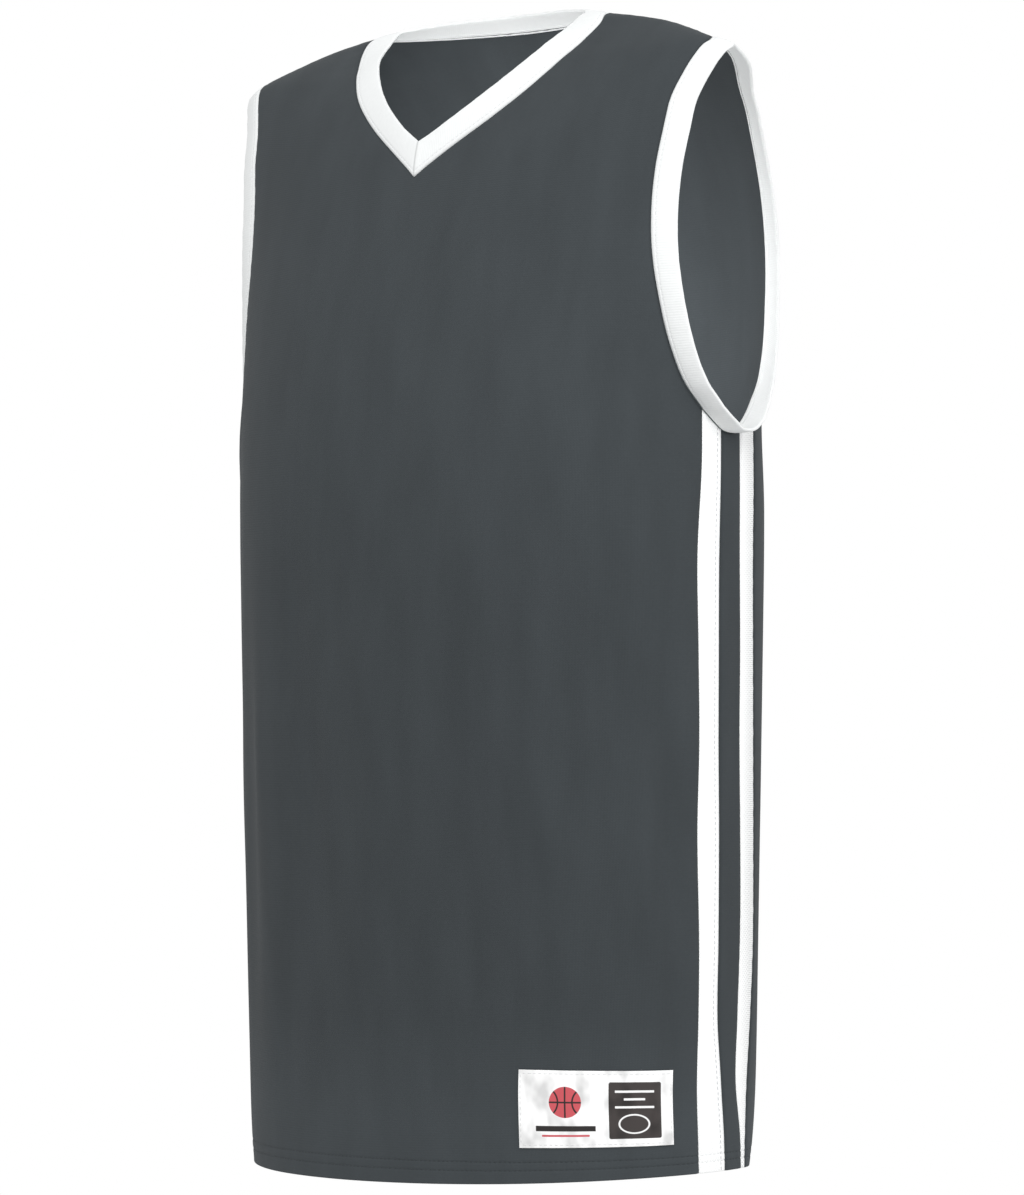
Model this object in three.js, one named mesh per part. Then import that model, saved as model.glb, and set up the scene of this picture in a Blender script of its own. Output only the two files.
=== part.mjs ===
// Basketball jersey: a sleeveless V-neck top of sewn cloth panels, holding its worn, hollow form.
// Millimetres, +Z up. The wearer faces -Y, and the wearer's left is +X.
// The origin lies between the shoulders, level with the point where the neck seam crosses them.

import * as THREE from 'three';

// Cloth, seams and trims
const WALL = 1.6;
const SEAM_GAP = 0.3;
const NECK_BAND_WIDTH = 19;
const ARM_BAND_WIDTH = 17.2;
const LABEL = { width: 101, fromSideSeam: 19, bottom: -744, top: -691.5, stand: 0.3, wall: 1.0 };

// Heights of the cut lines
const HEM_Z = -770;
const HEM_RISE = 5;
const HEM_TILT = 6;
const HEM_LIFT_TOP_Z = -690;
const CHEST_Z = -300;
const V_SEAM_Z = -107.8;
const TIP_Z = -23;
const NECK_TOP_Z = 1.5;
const BACK_NECK_RISE = 1.5;
const UNDERARM_FRONT_Z = -266.5;
const UNDERARM_BACK_Z = -258;

// Level rings of the body: half width, front and back depths, and the line they are measured from.
// frontRound and backRound are the powers of the front and back curves; 2 is an ellipse.
const RINGS = [
  { z: 6, halfWidth: 72, front: -13, back: 44, middle: 8, frontRound: 2, backRound: 1.6 },
  { z: 3, halfWidth: 88, front: -9.5, back: 47, middle: 7, frontRound: 2, backRound: 1.55 },
  { z: 0, halfWidth: 107, front: -10.5, back: 50, middle: 6, frontRound: 2, backRound: 1.5 },
  { z: -5, halfWidth: 134, front: -12, back: 54, middle: 5, frontRound: 2.1, backRound: 1.5 },
  { z: -10, halfWidth: 153, front: -15.5, back: 58, middle: 4, frontRound: 2.2, backRound: 1.5 },
  { z: -23, halfWidth: 187, front: -26, back: 68, middle: -1.5, frontRound: 2.6, backRound: 1.5 },
  { z: -32, halfWidth: 207, front: -36, back: 76, middle: -2.5, frontRound: 2.25, backRound: 1.65 },
  { z: -50, halfWidth: 212, front: -51, back: 86, middle: -2, frontRound: 2.05, backRound: 2 },
  { z: -80, halfWidth: 207, front: -68, back: 100, middle: -1, frontRound: 2.05, backRound: 2.5 },
  { z: -110, halfWidth: 202, front: -80.5, back: 112, middle: 0, frontRound: 2, backRound: 2.8 },
  { z: -150, halfWidth: 199, front: -93, back: 123, middle: 3, frontRound: 2, backRound: 2.78 },
  { z: -200, halfWidth: 196.5, front: -106, back: 133, middle: 6, frontRound: 2.05, backRound: 2.5 },
  { z: -260, halfWidth: 194.5, front: -116, back: 140, middle: 9, frontRound: 2.15, backRound: 2.15 },
  { z: -330, halfWidth: 193.5, front: -119.5, back: 143, middle: 11, frontRound: 2.2, backRound: 2.2 },
  { z: -450, halfWidth: 193, front: -115.5, back: 138, middle: 11.5, frontRound: 2.2, backRound: 2.2 },
  { z: -600, halfWidth: 192, front: -109, back: 131, middle: 11.5, frontRound: 2.2, backRound: 2.2 },
  { z: -700, halfWidth: 191, front: -104.5, back: 126, middle: 12, frontRound: 2.2, backRound: 2.2 },
  { z: -740, halfWidth: 190.8, front: -103, back: 117, middle: 13.5, frontRound: 2.2, backRound: 2.2 },
  { z: -770, halfWidth: 190, front: -100.5, back: 106, middle: 15, frontRound: 2.2, backRound: 2.2 },
];

// The armhole seam seen from the side, down the front and down the back from the shoulder tip
const ARMHOLE_FRONT = [
  { z: -23, y: -1.5 },
  { z: -27.5, y: -13.5 },
  { z: -35, y: -20.5 },
  { z: -50, y: -28 },
  { z: -70, y: -35.3 },
  { z: -100, y: -41.3 },
  { z: -140, y: -46 },
  { z: -175, y: -47 },
  { z: -210, y: -43.7 },
  { z: -235, y: -38 },
  { z: -252, y: -30.5 },
  { z: -266.5, y: -18.3 },
];
const ARMHOLE_BACK = [
  { z: -23, y: -1.5 },
  { z: -28, y: 15 },
  { z: -36, y: 29.3 },
  { z: -47, y: 43.6 },
  { z: -59, y: 53.2 },
  { z: -84, y: 68.7 },
  { z: -109, y: 78.8 },
  { z: -150, y: 84 },
  { z: -189, y: 81 },
  { z: -216, y: 73.5 },
  { z: -243, y: 57 },
  { z: -258, y: 40.4 },
];

// The armhole seam under the arm, by its place across the side strips from 0 in front to 3 behind
const UNDERARM = [
  { place: 0, z: UNDERARM_FRONT_Z },
  { place: 0.5, z: -273.5 },
  { place: 1, z: -279 },
  { place: 1.5, z: -280 },
  { place: 2, z: -276 },
  { place: 2.5, z: -268 },
  { place: 3, z: UNDERARM_BACK_Z },
];

// The side strips' four seams, by how far they lie behind the side line. They wander as the cloth hangs.
const STRIP_SEAMS = [
  { z: -255, first: -27.5, second: -10.5, third: 10.5, fourth: 31.5 },
  { z: -300, first: -28.5, second: -11, third: 10.5, fourth: 31 },
  { z: -360, first: -32.5, second: -13, third: 10, fourth: 29 },
  { z: -420, first: -31.5, second: -13.5, third: 10.5, fourth: 29.5 },
  { z: -480, first: -30.5, second: -13.5, third: 10, fourth: 30.5 },
  { z: -540, first: -31.5, second: -12.5, third: 11.5, fourth: 32 },
  { z: -610, first: -29.5, second: -12.5, third: 12.5, fourth: 33 },
  { z: -660, first: -29.5, second: -13, third: 9.5, fourth: 28.5 },
  { z: -700, first: -30.5, second: -9.5, third: 7, fourth: 23 },
  { z: -740, first: -30.5, second: -7.5, third: 11.5, fourth: 19 },
  { z: -770, first: -30, second: -7, third: 13, fourth: 18.5 },
];

// The V neck, by the height of its seam: how far out the seam lies, and the opening edge across the band
const NECK_FRONT = [
  { z: -107.8, seamX: 0, edgeX: 0, edgeY: -74.5, edgeZ: -84.4 },
  { z: -100, seamX: 9.9, edgeX: 8.8, edgeY: -71.8, edgeZ: -78.9 },
  { z: -90, seamX: 23.5, edgeX: 20.5, edgeY: -68.2, edgeZ: -70.8 },
  { z: -70, seamX: 50.6, edgeX: 42, edgeY: -57, edgeZ: -53.1 },
  { z: -50, seamX: 72.9, edgeX: 59.1, edgeY: -43, edgeZ: -35.6 },
  { z: -30, seamX: 88.5, edgeX: 71.6, edgeY: -27.5, edgeZ: -19.3 },
  { z: -15, seamX: 97, edgeX: 76.5, edgeY: -12, edgeZ: -8 },
  { z: -5, seamX: 100, edgeX: 78, edgeY: -3, edgeZ: -1.5 },
  { z: 1.5, seamX: 97.5, edgeX: 79.5, edgeY: 4, edgeZ: 3.5 },
];

// How the neck band leans round the back, by the angle of its seam: inward and up for each mm of band
const NECK_BACK = [
  { angle: 90, sideways: -0.98, forward: -0.13, up: 0.11 },
  { angle: 115, sideways: -0.86, forward: -0.4, up: 0.28 },
  { angle: 145, sideways: -0.45, forward: -0.8, up: 0.4 },
  { angle: 180, sideways: 0, forward: -0.9, up: 0.43 },
];

// How far the arm bands stand out sideways, in degrees from the plane of the armhole, by the share
// of the way round from the shoulder tip: down the front, under the arm and up the back
const ARM_FLARE = [
  { round: 0, left: 70, right: 58 },
  { round: 0.2, left: 64, right: 64 },
  { round: 0.31, left: 78, right: 48 },
  { round: 0.43, left: 90, right: 40 },
  { round: 0.5, left: 86, right: 40 },
  { round: 0.58, left: 64, right: 50 },
  { round: 0.75, left: 58, right: 64 },
  { round: 0.9, left: 56, right: 61 },
  { round: 1, left: 70, right: 58 },
];

// Soft long folds: angle round the body, ends, half width and depth; a minus depth is a trough
const FOLDS = [
  { angle: -49, top: -330, bottom: -800, halfWidth: 16, depth: -2.6 },
  { angle: -34, top: -240, bottom: -720, halfWidth: 18, depth: 2.4 },
  { angle: -20, top: -380, bottom: -840, halfWidth: 22, depth: -2.6 },
  { angle: -3, top: -300, bottom: -700, halfWidth: 18, depth: 2.2 },
  { angle: 13, top: -420, bottom: -820, halfWidth: 20, depth: -2.4 },
  { angle: 31, top: -270, bottom: -620, halfWidth: 18, depth: 2.6 },
  { angle: 46, top: -180, bottom: -560, halfWidth: 20, depth: -3 },
  { angle: 60, top: -400, bottom: -800, halfWidth: 16, depth: 2 },
  { angle: 127, top: -150, bottom: -620, halfWidth: 20, depth: -3.2 },
  { angle: 146, top: -330, bottom: -820, halfWidth: 20, depth: 2.8 },
  { angle: 163, top: -240, bottom: -700, halfWidth: 26, depth: -3 },
  { angle: -172, top: -380, bottom: -820, halfWidth: 22, depth: 2.6 },
  { angle: -149, top: -200, bottom: -640, halfWidth: 24, depth: -3.4 },
  { angle: -124, top: -300, bottom: -800, halfWidth: 24, depth: 2.8 },
];

// Rows of points up the panels. The front and back panels share the rows along the shoulder seam.
const BODY_ROWS = [HEM_Z, -757, LABEL.bottom, -718, LABEL.top, -664, -638, -612, -586, -560, -534];
const WAIST_ROWS = [-508, -482, -456, -430, -404, -378, -352, -326, CHEST_Z];
const FRONT_SIDE_TOP_Z = (CHEST_Z + UNDERARM_FRONT_Z) / 2;
const FRONT_ARMHOLE_ROWS = [-250, -236, -221, -205, -188, -170, -150, -129];
const FRONT_CHEST_ROWS = [FRONT_SIDE_TOP_Z, UNDERARM_FRONT_Z, ...FRONT_ARMHOLE_ROWS];
const FRONT_NECK_ROWS = [V_SEAM_Z, -100, -90, -79, -68, -57, -47, -38, -30];
const BACK_SIDE_TOP_Z = (CHEST_Z + UNDERARM_BACK_Z) / 2;
const BACK_ARMHOLE_ROWS = [-244, -229, -213, -196, -178, -159, -140, -121, -103];
const BACK_CHEST_ROWS = [BACK_SIDE_TOP_Z, UNDERARM_BACK_Z, ...BACK_ARMHOLE_ROWS];
const BACK_BLADE_ROWS = [-87, -73, -60, -49, -39, -30];
const SHOULDER_ROWS = [TIP_Z, -17, -11.5, -6, -2, NECK_TOP_Z];
const PANEL_COLUMNS = 11;
const STRIP_COUNT = 3;
const STRIP_COLUMNS = 2;
const BAND_COLUMNS = 2;

// The strips' last rows, as shares of the way up from the chest to the armhole seam
const STRIP_TOP_SHARES = [0.5, 1];

// Points that agree to a thousandth of a millimetre are one point
const STEPS_PER_MM = 1000;

const CHARCOAL = 0x474c4f;
const WHITE_MESH = 0xfbfbfb;
const WHITE_RIB = 0xf4f5f5;
const WHITE_SATIN = 0xfdfdfc;
const KNIT_ROUGHNESS = 0.85;
const RIB_ROUGHNESS = 0.8;
const SATIN_ROUGHNESS = 0.45;

const SIDE_ANGLE = Math.PI / 2;
const BODY_INSIDE = new THREE.Vector3(0, 11, -400);
const NECK_INSIDE = new THREE.Vector3(0, -12, -20);
const ARMHOLE_INSIDE = new THREE.Vector3(205, 20, -150);

// A smooth curve through one column of a table, read at any value of its key column
function smoothColumn(table, key, column) {
  const rows = [...table].sort((a, b) => a[key] - b[key]);
  const at = rows.map((row) => row[key]);
  const value = rows.map((row) => row[column]);
  const last = rows.length - 1;
  const slope = at.map((_, i) => {
    const before = Math.max(i - 1, 0);
    const after = Math.min(i + 1, last);
    return (value[after] - value[before]) / (at[after] - at[before]);
  });
  return (t) => {
    let i = 0;
    while (i < last - 1 && t > at[i + 1]) i += 1;
    const span = at[i + 1] - at[i];
    const u = (t - at[i]) / span;
    const rise = value[i + 1] - value[i];
    const a = slope[i] * span;
    const b = slope[i + 1] * span;
    return value[i] + a * u + (3 * rise - 2 * a - b) * u * u + (a + b - 2 * rise) * u ** 3;
  };
}

function smoothTable(table, key) {
  const columns = Object.keys(table[0]).filter((name) => name !== key);
  const curves = columns.map((name) => [name, smoothColumn(table, key, name)]);
  return (t) => Object.fromEntries(curves.map(([name, curve]) => [name, curve(t)]));
}

const ring = smoothTable(RINGS, 'z');
const armholeFrontY = smoothColumn(ARMHOLE_FRONT, 'z', 'y');
const armholeBackY = smoothColumn(ARMHOLE_BACK, 'z', 'y');
const underarmZ = smoothColumn(UNDERARM, 'place', 'z');
const stripSeams = smoothTable(STRIP_SEAMS, 'z');
const neckFront = smoothTable(NECK_FRONT, 'z');
const neckBack = smoothTable(NECK_BACK, 'angle');
const armFlare = smoothTable(ARM_FLARE, 'round');

// A bump that is 1 at its centre and 0 from distance 1 on
function bump(distance) {
  return Math.abs(distance) < 1 ? (1 + Math.cos(Math.PI * distance)) / 2 : 0;
}

// How far the folds lift the cloth. They fade out towards the neck and the armholes.
function foldLift(angle, z, radius) {
  let lift = 0;
  for (const fold of FOLDS) {
    const turn = Math.atan2(
      Math.sin(angle - THREE.MathUtils.degToRad(fold.angle)),
      Math.cos(angle - THREE.MathUtils.degToRad(fold.angle)),
    );
    const across = bump((turn * radius) / (2 * fold.halfWidth));
    const centre = (fold.top + fold.bottom) / 2;
    const along = bump((z - centre) / ((fold.top - fold.bottom) / 2));
    lift += fold.depth * across * along;
  }
  return lift;
}

// A point of the garment's outer surface: angle 0 is the centre front, +90 degrees the left side
function surface(angle, z) {
  const size = ring(z);
  const turnedFront = Math.cos(angle) >= 0;
  const round = turnedFront ? size.frontRound : size.backRound;
  const depth = turnedFront ? size.middle - size.front : size.back - size.middle;
  const across = Math.abs(Math.sin(angle)) ** (2 / round);
  const along = Math.abs(Math.cos(angle)) ** (2 / round);
  const x = size.halfWidth * Math.sign(Math.sin(angle)) * across;
  const y = size.middle - depth * Math.sign(Math.cos(angle)) * along;
  const radius = Math.hypot(x, y - size.middle);
  const lift = foldLift(angle, z, radius) / Math.max(radius, 1);
  const low = Math.max(0, (HEM_LIFT_TOP_Z - z) / (HEM_LIFT_TOP_Z - HEM_Z)) ** 2;
  const sideShare = x / size.halfWidth;
  const rise = low * (HEM_RISE * sideShare ** 2 + HEM_TILT * sideShare);
  return new THREE.Vector3(x * (1 + lift), y + (y - size.middle) * lift, z + rise);
}

// The angle at which a level ring passes a given y, on the front or on the back
function angleAtY(y, z) {
  const size = ring(z);
  const isFront = y <= size.middle;
  const round = isFront ? size.frontRound : size.backRound;
  const depth = isFront ? size.middle - size.front : size.back - size.middle;
  const cosine = Math.min(1, Math.abs(y - size.middle) / depth) ** (round / 2);
  return Math.acos(isFront ? cosine : -cosine);
}

// The angle of a place across the side strips: 0 is the seam in front of them and 3 the one behind
function angleAtPlace(place, z) {
  const seams = Object.values(stripSeams(z));
  const before = Math.min(Math.floor(place), seams.length - 2);
  const offset = seams[before] + (place - before) * (seams[before + 1] - seams[before]);
  return angleAtY(ring(z).middle + offset, z);
}

function angleOfNeckSeam(z) {
  const size = ring(z);
  const sine = Math.min(1, neckFront(z).seamX / size.halfWidth) ** (size.frontRound / 2);
  return z >= NECK_TOP_Z ? SIDE_ANGLE : Math.asin(sine);
}

function backNeckZ(angle) {
  return NECK_TOP_Z + BACK_NECK_RISE * Math.cos(angle) ** 2;
}

function spread(from, to, count) {
  return Array.from({ length: count + 1 }, (_, i) => from + ((to - from) * i) / count);
}

// Half of the front panel: rows of points from the centre line or neck seam out to its edge
function frontHalf(side) {
  const rows = [...BODY_ROWS, ...WAIST_ROWS, ...FRONT_CHEST_ROWS, ...FRONT_NECK_ROWS, ...SHOULDER_ROWS];
  return rows.map((z) => {
    const inner = z > V_SEAM_Z ? angleOfNeckSeam(z) : 0;
    return spread(inner, frontEdgeAngle(z), PANEL_COLUMNS).map((angle) => surface(side * angle, z));
  });
}

function frontEdgeAngle(z) {
  if (z >= TIP_Z) return SIDE_ANGLE;
  return z <= UNDERARM_FRONT_Z ? angleAtPlace(0, z) : angleAtY(armholeFrontY(z), z);
}

function backEdgeAngle(z) {
  if (z >= TIP_Z) return SIDE_ANGLE;
  return z <= UNDERARM_BACK_Z ? angleAtPlace(STRIP_COUNT, z) : angleAtY(armholeBackY(z), z);
}

// Half of the back panel, from the centre line out; its last row is the neck seam
function backHalf(side) {
  const rows = [...BODY_ROWS, ...WAIST_ROWS, ...BACK_CHEST_ROWS, ...BACK_BLADE_ROWS, ...SHOULDER_ROWS];
  return rows.map((z) =>
    spread(Math.PI, backEdgeAngle(z), PANEL_COLUMNS).map((angle) =>
      surface(side * angle, z === NECK_TOP_Z ? backNeckZ(angle) : z),
    ),
  );
}

// One of the side strips, counted from the front: from the hem up to the armhole seam
function sideStrip(side, strip) {
  const places = spread(strip, strip + 1, STRIP_COLUMNS);
  const lower = [...BODY_ROWS, ...WAIST_ROWS].map((z) =>
    places.map((place) => surface(side * angleAtPlace(place, z), z)),
  );
  const upper = STRIP_TOP_SHARES.map((share) =>
    places.map((place) => {
      const z = CHEST_Z + share * (underarmZ(place) - CHEST_Z);
      return surface(side * angleAtPlace(place, z), z);
    }),
  );
  return [...lower, ...upper];
}

// The armhole seam all the way round: down the front, under the arm and up the back
function armholeSeam(side) {
  const down = [...FRONT_CHEST_ROWS, ...FRONT_NECK_ROWS, TIP_Z].filter((z) => z > UNDERARM_FRONT_Z);
  const up = [...BACK_CHEST_ROWS, ...BACK_BLADE_ROWS].filter((z) => z > UNDERARM_BACK_Z);
  const front = down.reverse().map((z) => surface(side * frontEdgeAngle(z), z));
  const back = up.map((z) => surface(side * backEdgeAngle(z), z));
  const under = spread(0, STRIP_COUNT, STRIP_COUNT * STRIP_COLUMNS).map((place) => {
    const z = underarmZ(place);
    return surface(side * angleAtPlace(place, z), z);
  });
  return [...front, ...under, ...back];
}

// Points across a band at one station, from its seam to its opening edge
function acrossBand(seam, edge) {
  return spread(0, 1, BAND_COLUMNS).map((share) => seam.clone().lerp(edge, share));
}

function armBandRows(side) {
  const seam = armholeSeam(side);
  const count = seam.length;
  const steps = seam.map((point, i) => point.distanceTo(seam[(i + 1) % count]));
  const girth = steps.reduce((sum, step) => sum + step, 0);
  let walked = 0;
  const rows = seam.map((point, i) => {
    const before = seam[(i + count - 1) % count];
    const after = seam[(i + 1) % count];
    const across = new THREE.Vector3(0, before.z - after.z, after.y - before.y).normalize();
    const flare = THREE.MathUtils.degToRad(armFlare(walked / girth)[side > 0 ? 'left' : 'right']);
    across.multiplyScalar(Math.cos(flare)).setX(side * Math.sin(flare));
    walked += steps[i];
    return acrossBand(point, point.clone().addScaledVector(across, ARM_BAND_WIDTH));
  });
  return [...rows, rows[0]];
}

// Half of the neck band: from the V up over the shoulder, then round to the centre back
function neckBandHalf(side) {
  const front = [...FRONT_NECK_ROWS, ...SHOULDER_ROWS].map((z) => {
    const cut = neckFront(z);
    const inner = z > V_SEAM_Z ? angleOfNeckSeam(z) : 0;
    return acrossBand(surface(side * inner, z), new THREE.Vector3(side * cut.edgeX, cut.edgeY, cut.edgeZ));
  });
  const back = spread(SIDE_ANGLE, Math.PI, PANEL_COLUMNS).slice(1).map((angle) => {
    const seam = surface(side * angle, backNeckZ(angle));
    const lean = neckBack(THREE.MathUtils.radToDeg(angle));
    const across = new THREE.Vector3(side * lean.sideways, lean.forward, lean.up).normalize();
    return acrossBand(seam, seam.clone().addScaledVector(across, NECK_BAND_WIDTH));
  });
  return [...front, ...back];
}

// The stretch of a row of points that lies between two distances from its last point
function stretchOfRow(row, from, to) {
  const points = [...row].reverse();
  const cut = [];
  let walked = 0;
  for (let i = 1; i < points.length; i += 1) {
    const length = points[i].distanceTo(points[i - 1]);
    const at = (distance) => points[i - 1].clone().lerp(points[i], (distance - walked) / length);
    if (walked < from && from <= walked + length) cut.push(at(from));
    if (walked + length > from && walked + length < to) cut.push(points[i].clone());
    if (walked < to && to <= walked + length) cut.push(at(to));
    walked += length;
  }
  return cut;
}

// The label lies on the front panel, so its rows are stretches of the panel's own rows
function labelRows() {
  const panel = frontHalf(1);
  const first = BODY_ROWS.indexOf(LABEL.bottom);
  const last = BODY_ROWS.indexOf(LABEL.top);
  const to = LABEL.fromSideSeam + LABEL.width;
  const rows = panel.slice(first, last + 1).map((row) => stretchOfRow(row, LABEL.fromSideSeam, to));
  const columns = Math.min(...rows.map((row) => row.length));
  return rows.map((row) => (row.length > columns ? row.filter((_, i) => i !== columns - 1) : row));
}

// A sheet is a surface of triangles with shared points, all facing away from a point inside it
function pointKey(point) {
  return [point.x, point.y, point.z].map((value) => Math.round(value * STEPS_PER_MM)).join(' ');
}

function sheetFromGrids(grids, inside) {
  const points = [];
  const indexOf = new Map();
  const number = (point) => {
    const key = pointKey(point);
    if (!indexOf.has(key)) {
      indexOf.set(key, points.length);
      points.push(point);
    }
    return indexOf.get(key);
  };
  const faces = [];
  for (const grid of grids) {
    const part = [];
    for (let row = 1; row < grid.length; row += 1) {
      for (let column = 1; column < grid[row].length; column += 1) {
        const a = number(grid[row - 1][column - 1]);
        const b = number(grid[row - 1][column]);
        const c = number(grid[row][column]);
        const d = number(grid[row][column - 1]);
        part.push([a, b, c], [a, c, d]);
      }
    }
    const solid = part.filter(([a, b, c]) => a !== b && b !== c && c !== a);
    const facing = solid.reduce((sum, face) => sum + outwardShare(points, face, inside), 0);
    faces.push(...(facing < 0 ? solid.map(([a, b, c]) => [a, c, b]) : solid));
  }
  return { points, faces };
}

function faceNormal(points, [a, b, c]) {
  const ab = points[b].clone().sub(points[a]);
  const ac = points[c].clone().sub(points[a]);
  return ab.cross(ac);
}

function outwardShare(points, face, inside) {
  return faceNormal(points, face).dot(points[face[0]].clone().sub(inside));
}

// Normals summed over every piece that touches a point, so that pieces share them along a seam
function gatherNormals(sheets) {
  const normals = new Map();
  for (const { points, faces } of sheets) {
    for (const face of faces) {
      const normal = faceNormal(points, face).normalize();
      for (const corner of face) {
        const key = pointKey(points[corner]);
        if (!normals.has(key)) normals.set(key, new THREE.Vector3());
        normals.get(key).add(normal);
      }
    }
  }
  for (const normal of normals.values()) normal.normalize();
  return normals;
}

function boundaryEdges(faces) {
  const used = new Set();
  const edges = faces.flatMap(([a, b, c]) => [[a, b], [b, c], [c, a]]);
  edges.forEach(([from, to]) => used.add(`${from} ${to}`));
  return edges.filter(([from, to]) => !used.has(`${to} ${from}`));
}

// Draws the edge of a sheet in by half of the seam gap
function drawEdgeIn(points, normals, edges) {
  const next = new Map(edges);
  const before = new Map(edges.map(([from, to]) => [to, from]));
  const moved = points.map((point) => point.clone());
  for (const [corner, following] of next) {
    const normal = normals[corner];
    const arriving = points[corner].clone().sub(points[before.get(corner)]);
    const leaving = points[following].clone().sub(points[corner]);
    const inA = normal.clone().cross(arriving).normalize();
    const inB = normal.clone().cross(leaving).normalize();
    const reach = SEAM_GAP / 2 / (1 + inA.dot(inB));
    moved[corner].addScaledVector(inA.add(inB), reach);
  }
  return moved;
}

// A closed wall of cloth: the sheet as its outside, a copy moved inwards, and an edge all round
function clothWall(sheet, allNormals, wall, stand) {
  const { points, faces } = sheet;
  const normals = points.map((point) => allNormals.get(pointKey(point)));
  const edges = boundaryEdges(faces);
  const cut = drawEdgeIn(points, normals, edges);
  const outer = cut.map((point, i) => point.clone().addScaledVector(normals[i], stand));
  const inner = outer.map((point, i) => point.clone().addScaledVector(normals[i], -wall));
  const count = points.length;
  const index = faces.flatMap(([a, b, c]) => [a, b, c, count + a, count + c, count + b]);
  for (const [from, to] of edges) {
    index.push(to, from, count + from, to, count + from, count + to);
  }
  const geometry = new THREE.BufferGeometry();
  const coordinates = [...outer, ...inner].flatMap((point) => point.toArray());
  geometry.setAttribute('position', new THREE.Float32BufferAttribute(coordinates, 3));
  geometry.setIndex(index);
  geometry.computeVertexNormals();
  return geometry;
}

function material(color, roughness) {
  return new THREE.MeshStandardMaterial({ color, roughness, metalness: 0 });
}

const STRIPS = [
  { name: 'front_strip', color: WHITE_MESH },
  { name: 'middle_strip', color: CHARCOAL },
  { name: 'rear_strip', color: WHITE_MESH },
];

const pieces = [];

function addPiece(name, grids, inside, finish, wall = WALL, stand = 0) {
  pieces.push({ name, sheet: sheetFromGrids(grids, inside), finish, wall, stand });
}

addPiece('front_panel', [frontHalf(1), frontHalf(-1)], BODY_INSIDE, material(CHARCOAL, KNIT_ROUGHNESS));
addPiece('back_panel', [backHalf(1), backHalf(-1)], BODY_INSIDE, material(CHARCOAL, KNIT_ROUGHNESS));
addPiece('neck_band', [neckBandHalf(1), neckBandHalf(-1)], NECK_INSIDE, material(WHITE_RIB, RIB_ROUGHNESS));
for (const [word, side] of [['left', 1], ['right', -1]]) {
  const inside = ARMHOLE_INSIDE.clone().multiply(new THREE.Vector3(side, 1, 1));
  addPiece(`${word}_arm_band`, [armBandRows(side)], inside, material(WHITE_RIB, RIB_ROUGHNESS));
  STRIPS.forEach((strip, i) => {
    const finish = material(strip.color, KNIT_ROUGHNESS);
    addPiece(`${word}_${strip.name}`, [sideStrip(side, i)], BODY_INSIDE, finish);
  });
}
const labelStand = LABEL.stand + LABEL.wall;
const satin = material(WHITE_SATIN, SATIN_ROUGHNESS);
addPiece('hem_label', [labelRows()], BODY_INSIDE, satin, LABEL.wall, labelStand);

const normals = gatherNormals(pieces.map((piece) => piece.sheet));
const jersey = new THREE.Group();
for (const { name, sheet, finish, wall, stand } of pieces) {
  const mesh = new THREE.Mesh(clothWall(sheet, normals, wall, stand), finish);
  mesh.name = name;
  jersey.add(mesh);
}

export default jersey;
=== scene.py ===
# Basketball jersey: knit panels, striped sides, rib bands, stitching and hem label,
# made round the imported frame. The wearer faces -Y, and the wearer's left is +X.
import math

import bpy
import numpy as np
from bpy.props import FloatProperty, FloatVectorProperty, PointerProperty
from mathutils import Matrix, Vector
from mathutils.kdtree import KDTree


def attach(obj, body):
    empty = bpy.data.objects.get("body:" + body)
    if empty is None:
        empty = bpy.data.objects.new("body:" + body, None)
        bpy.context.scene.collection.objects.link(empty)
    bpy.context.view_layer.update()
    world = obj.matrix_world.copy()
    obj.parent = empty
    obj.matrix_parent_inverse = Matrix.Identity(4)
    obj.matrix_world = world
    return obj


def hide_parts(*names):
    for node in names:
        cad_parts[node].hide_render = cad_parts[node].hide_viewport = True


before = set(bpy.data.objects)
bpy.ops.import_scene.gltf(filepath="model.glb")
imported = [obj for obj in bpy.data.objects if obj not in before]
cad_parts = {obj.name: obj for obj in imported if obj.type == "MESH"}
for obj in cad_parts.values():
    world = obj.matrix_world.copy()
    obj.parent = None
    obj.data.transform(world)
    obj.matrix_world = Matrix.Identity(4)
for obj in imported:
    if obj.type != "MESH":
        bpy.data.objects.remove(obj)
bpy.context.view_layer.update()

bl_info = {
    "name": "Basketball jersey",
    "version": (1, 0, 0),
    "blender": (4, 5, 0),
    "location": "View3D > Sidebar > Jersey",
    "description": "Makes a sleeveless V-neck basketball jersey on its packed frame",
    "category": "Add Mesh",
}

MM_PER_M = 1000.0
CLOTH_UV = "cloth"
SEAM_ATTRIBUTE = "seam_mm"

# ---- The garment's form, in millimetres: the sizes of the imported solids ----

HEM_Z = -770.0
HEM_RISE = 5.0
HEM_TILT = 6.0
HEM_LIFT_TOP_Z = -690.0
CHEST_Z = -300.0
V_SEAM_Z = -107.8
TIP_Z = -23.0
NECK_TOP_Z = 1.5
BACK_NECK_RISE = 1.5
UNDERARM_FRONT_Z = -266.5
UNDERARM_BACK_Z = -258.0
LABEL_BOTTOM_Z = -744.0
LABEL_TOP_Z = -691.5
LABEL_FROM_SIDE_SEAM = 19.0
STRIP_COUNT = 3
SIDE_ANGLE = math.pi / 2

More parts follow.
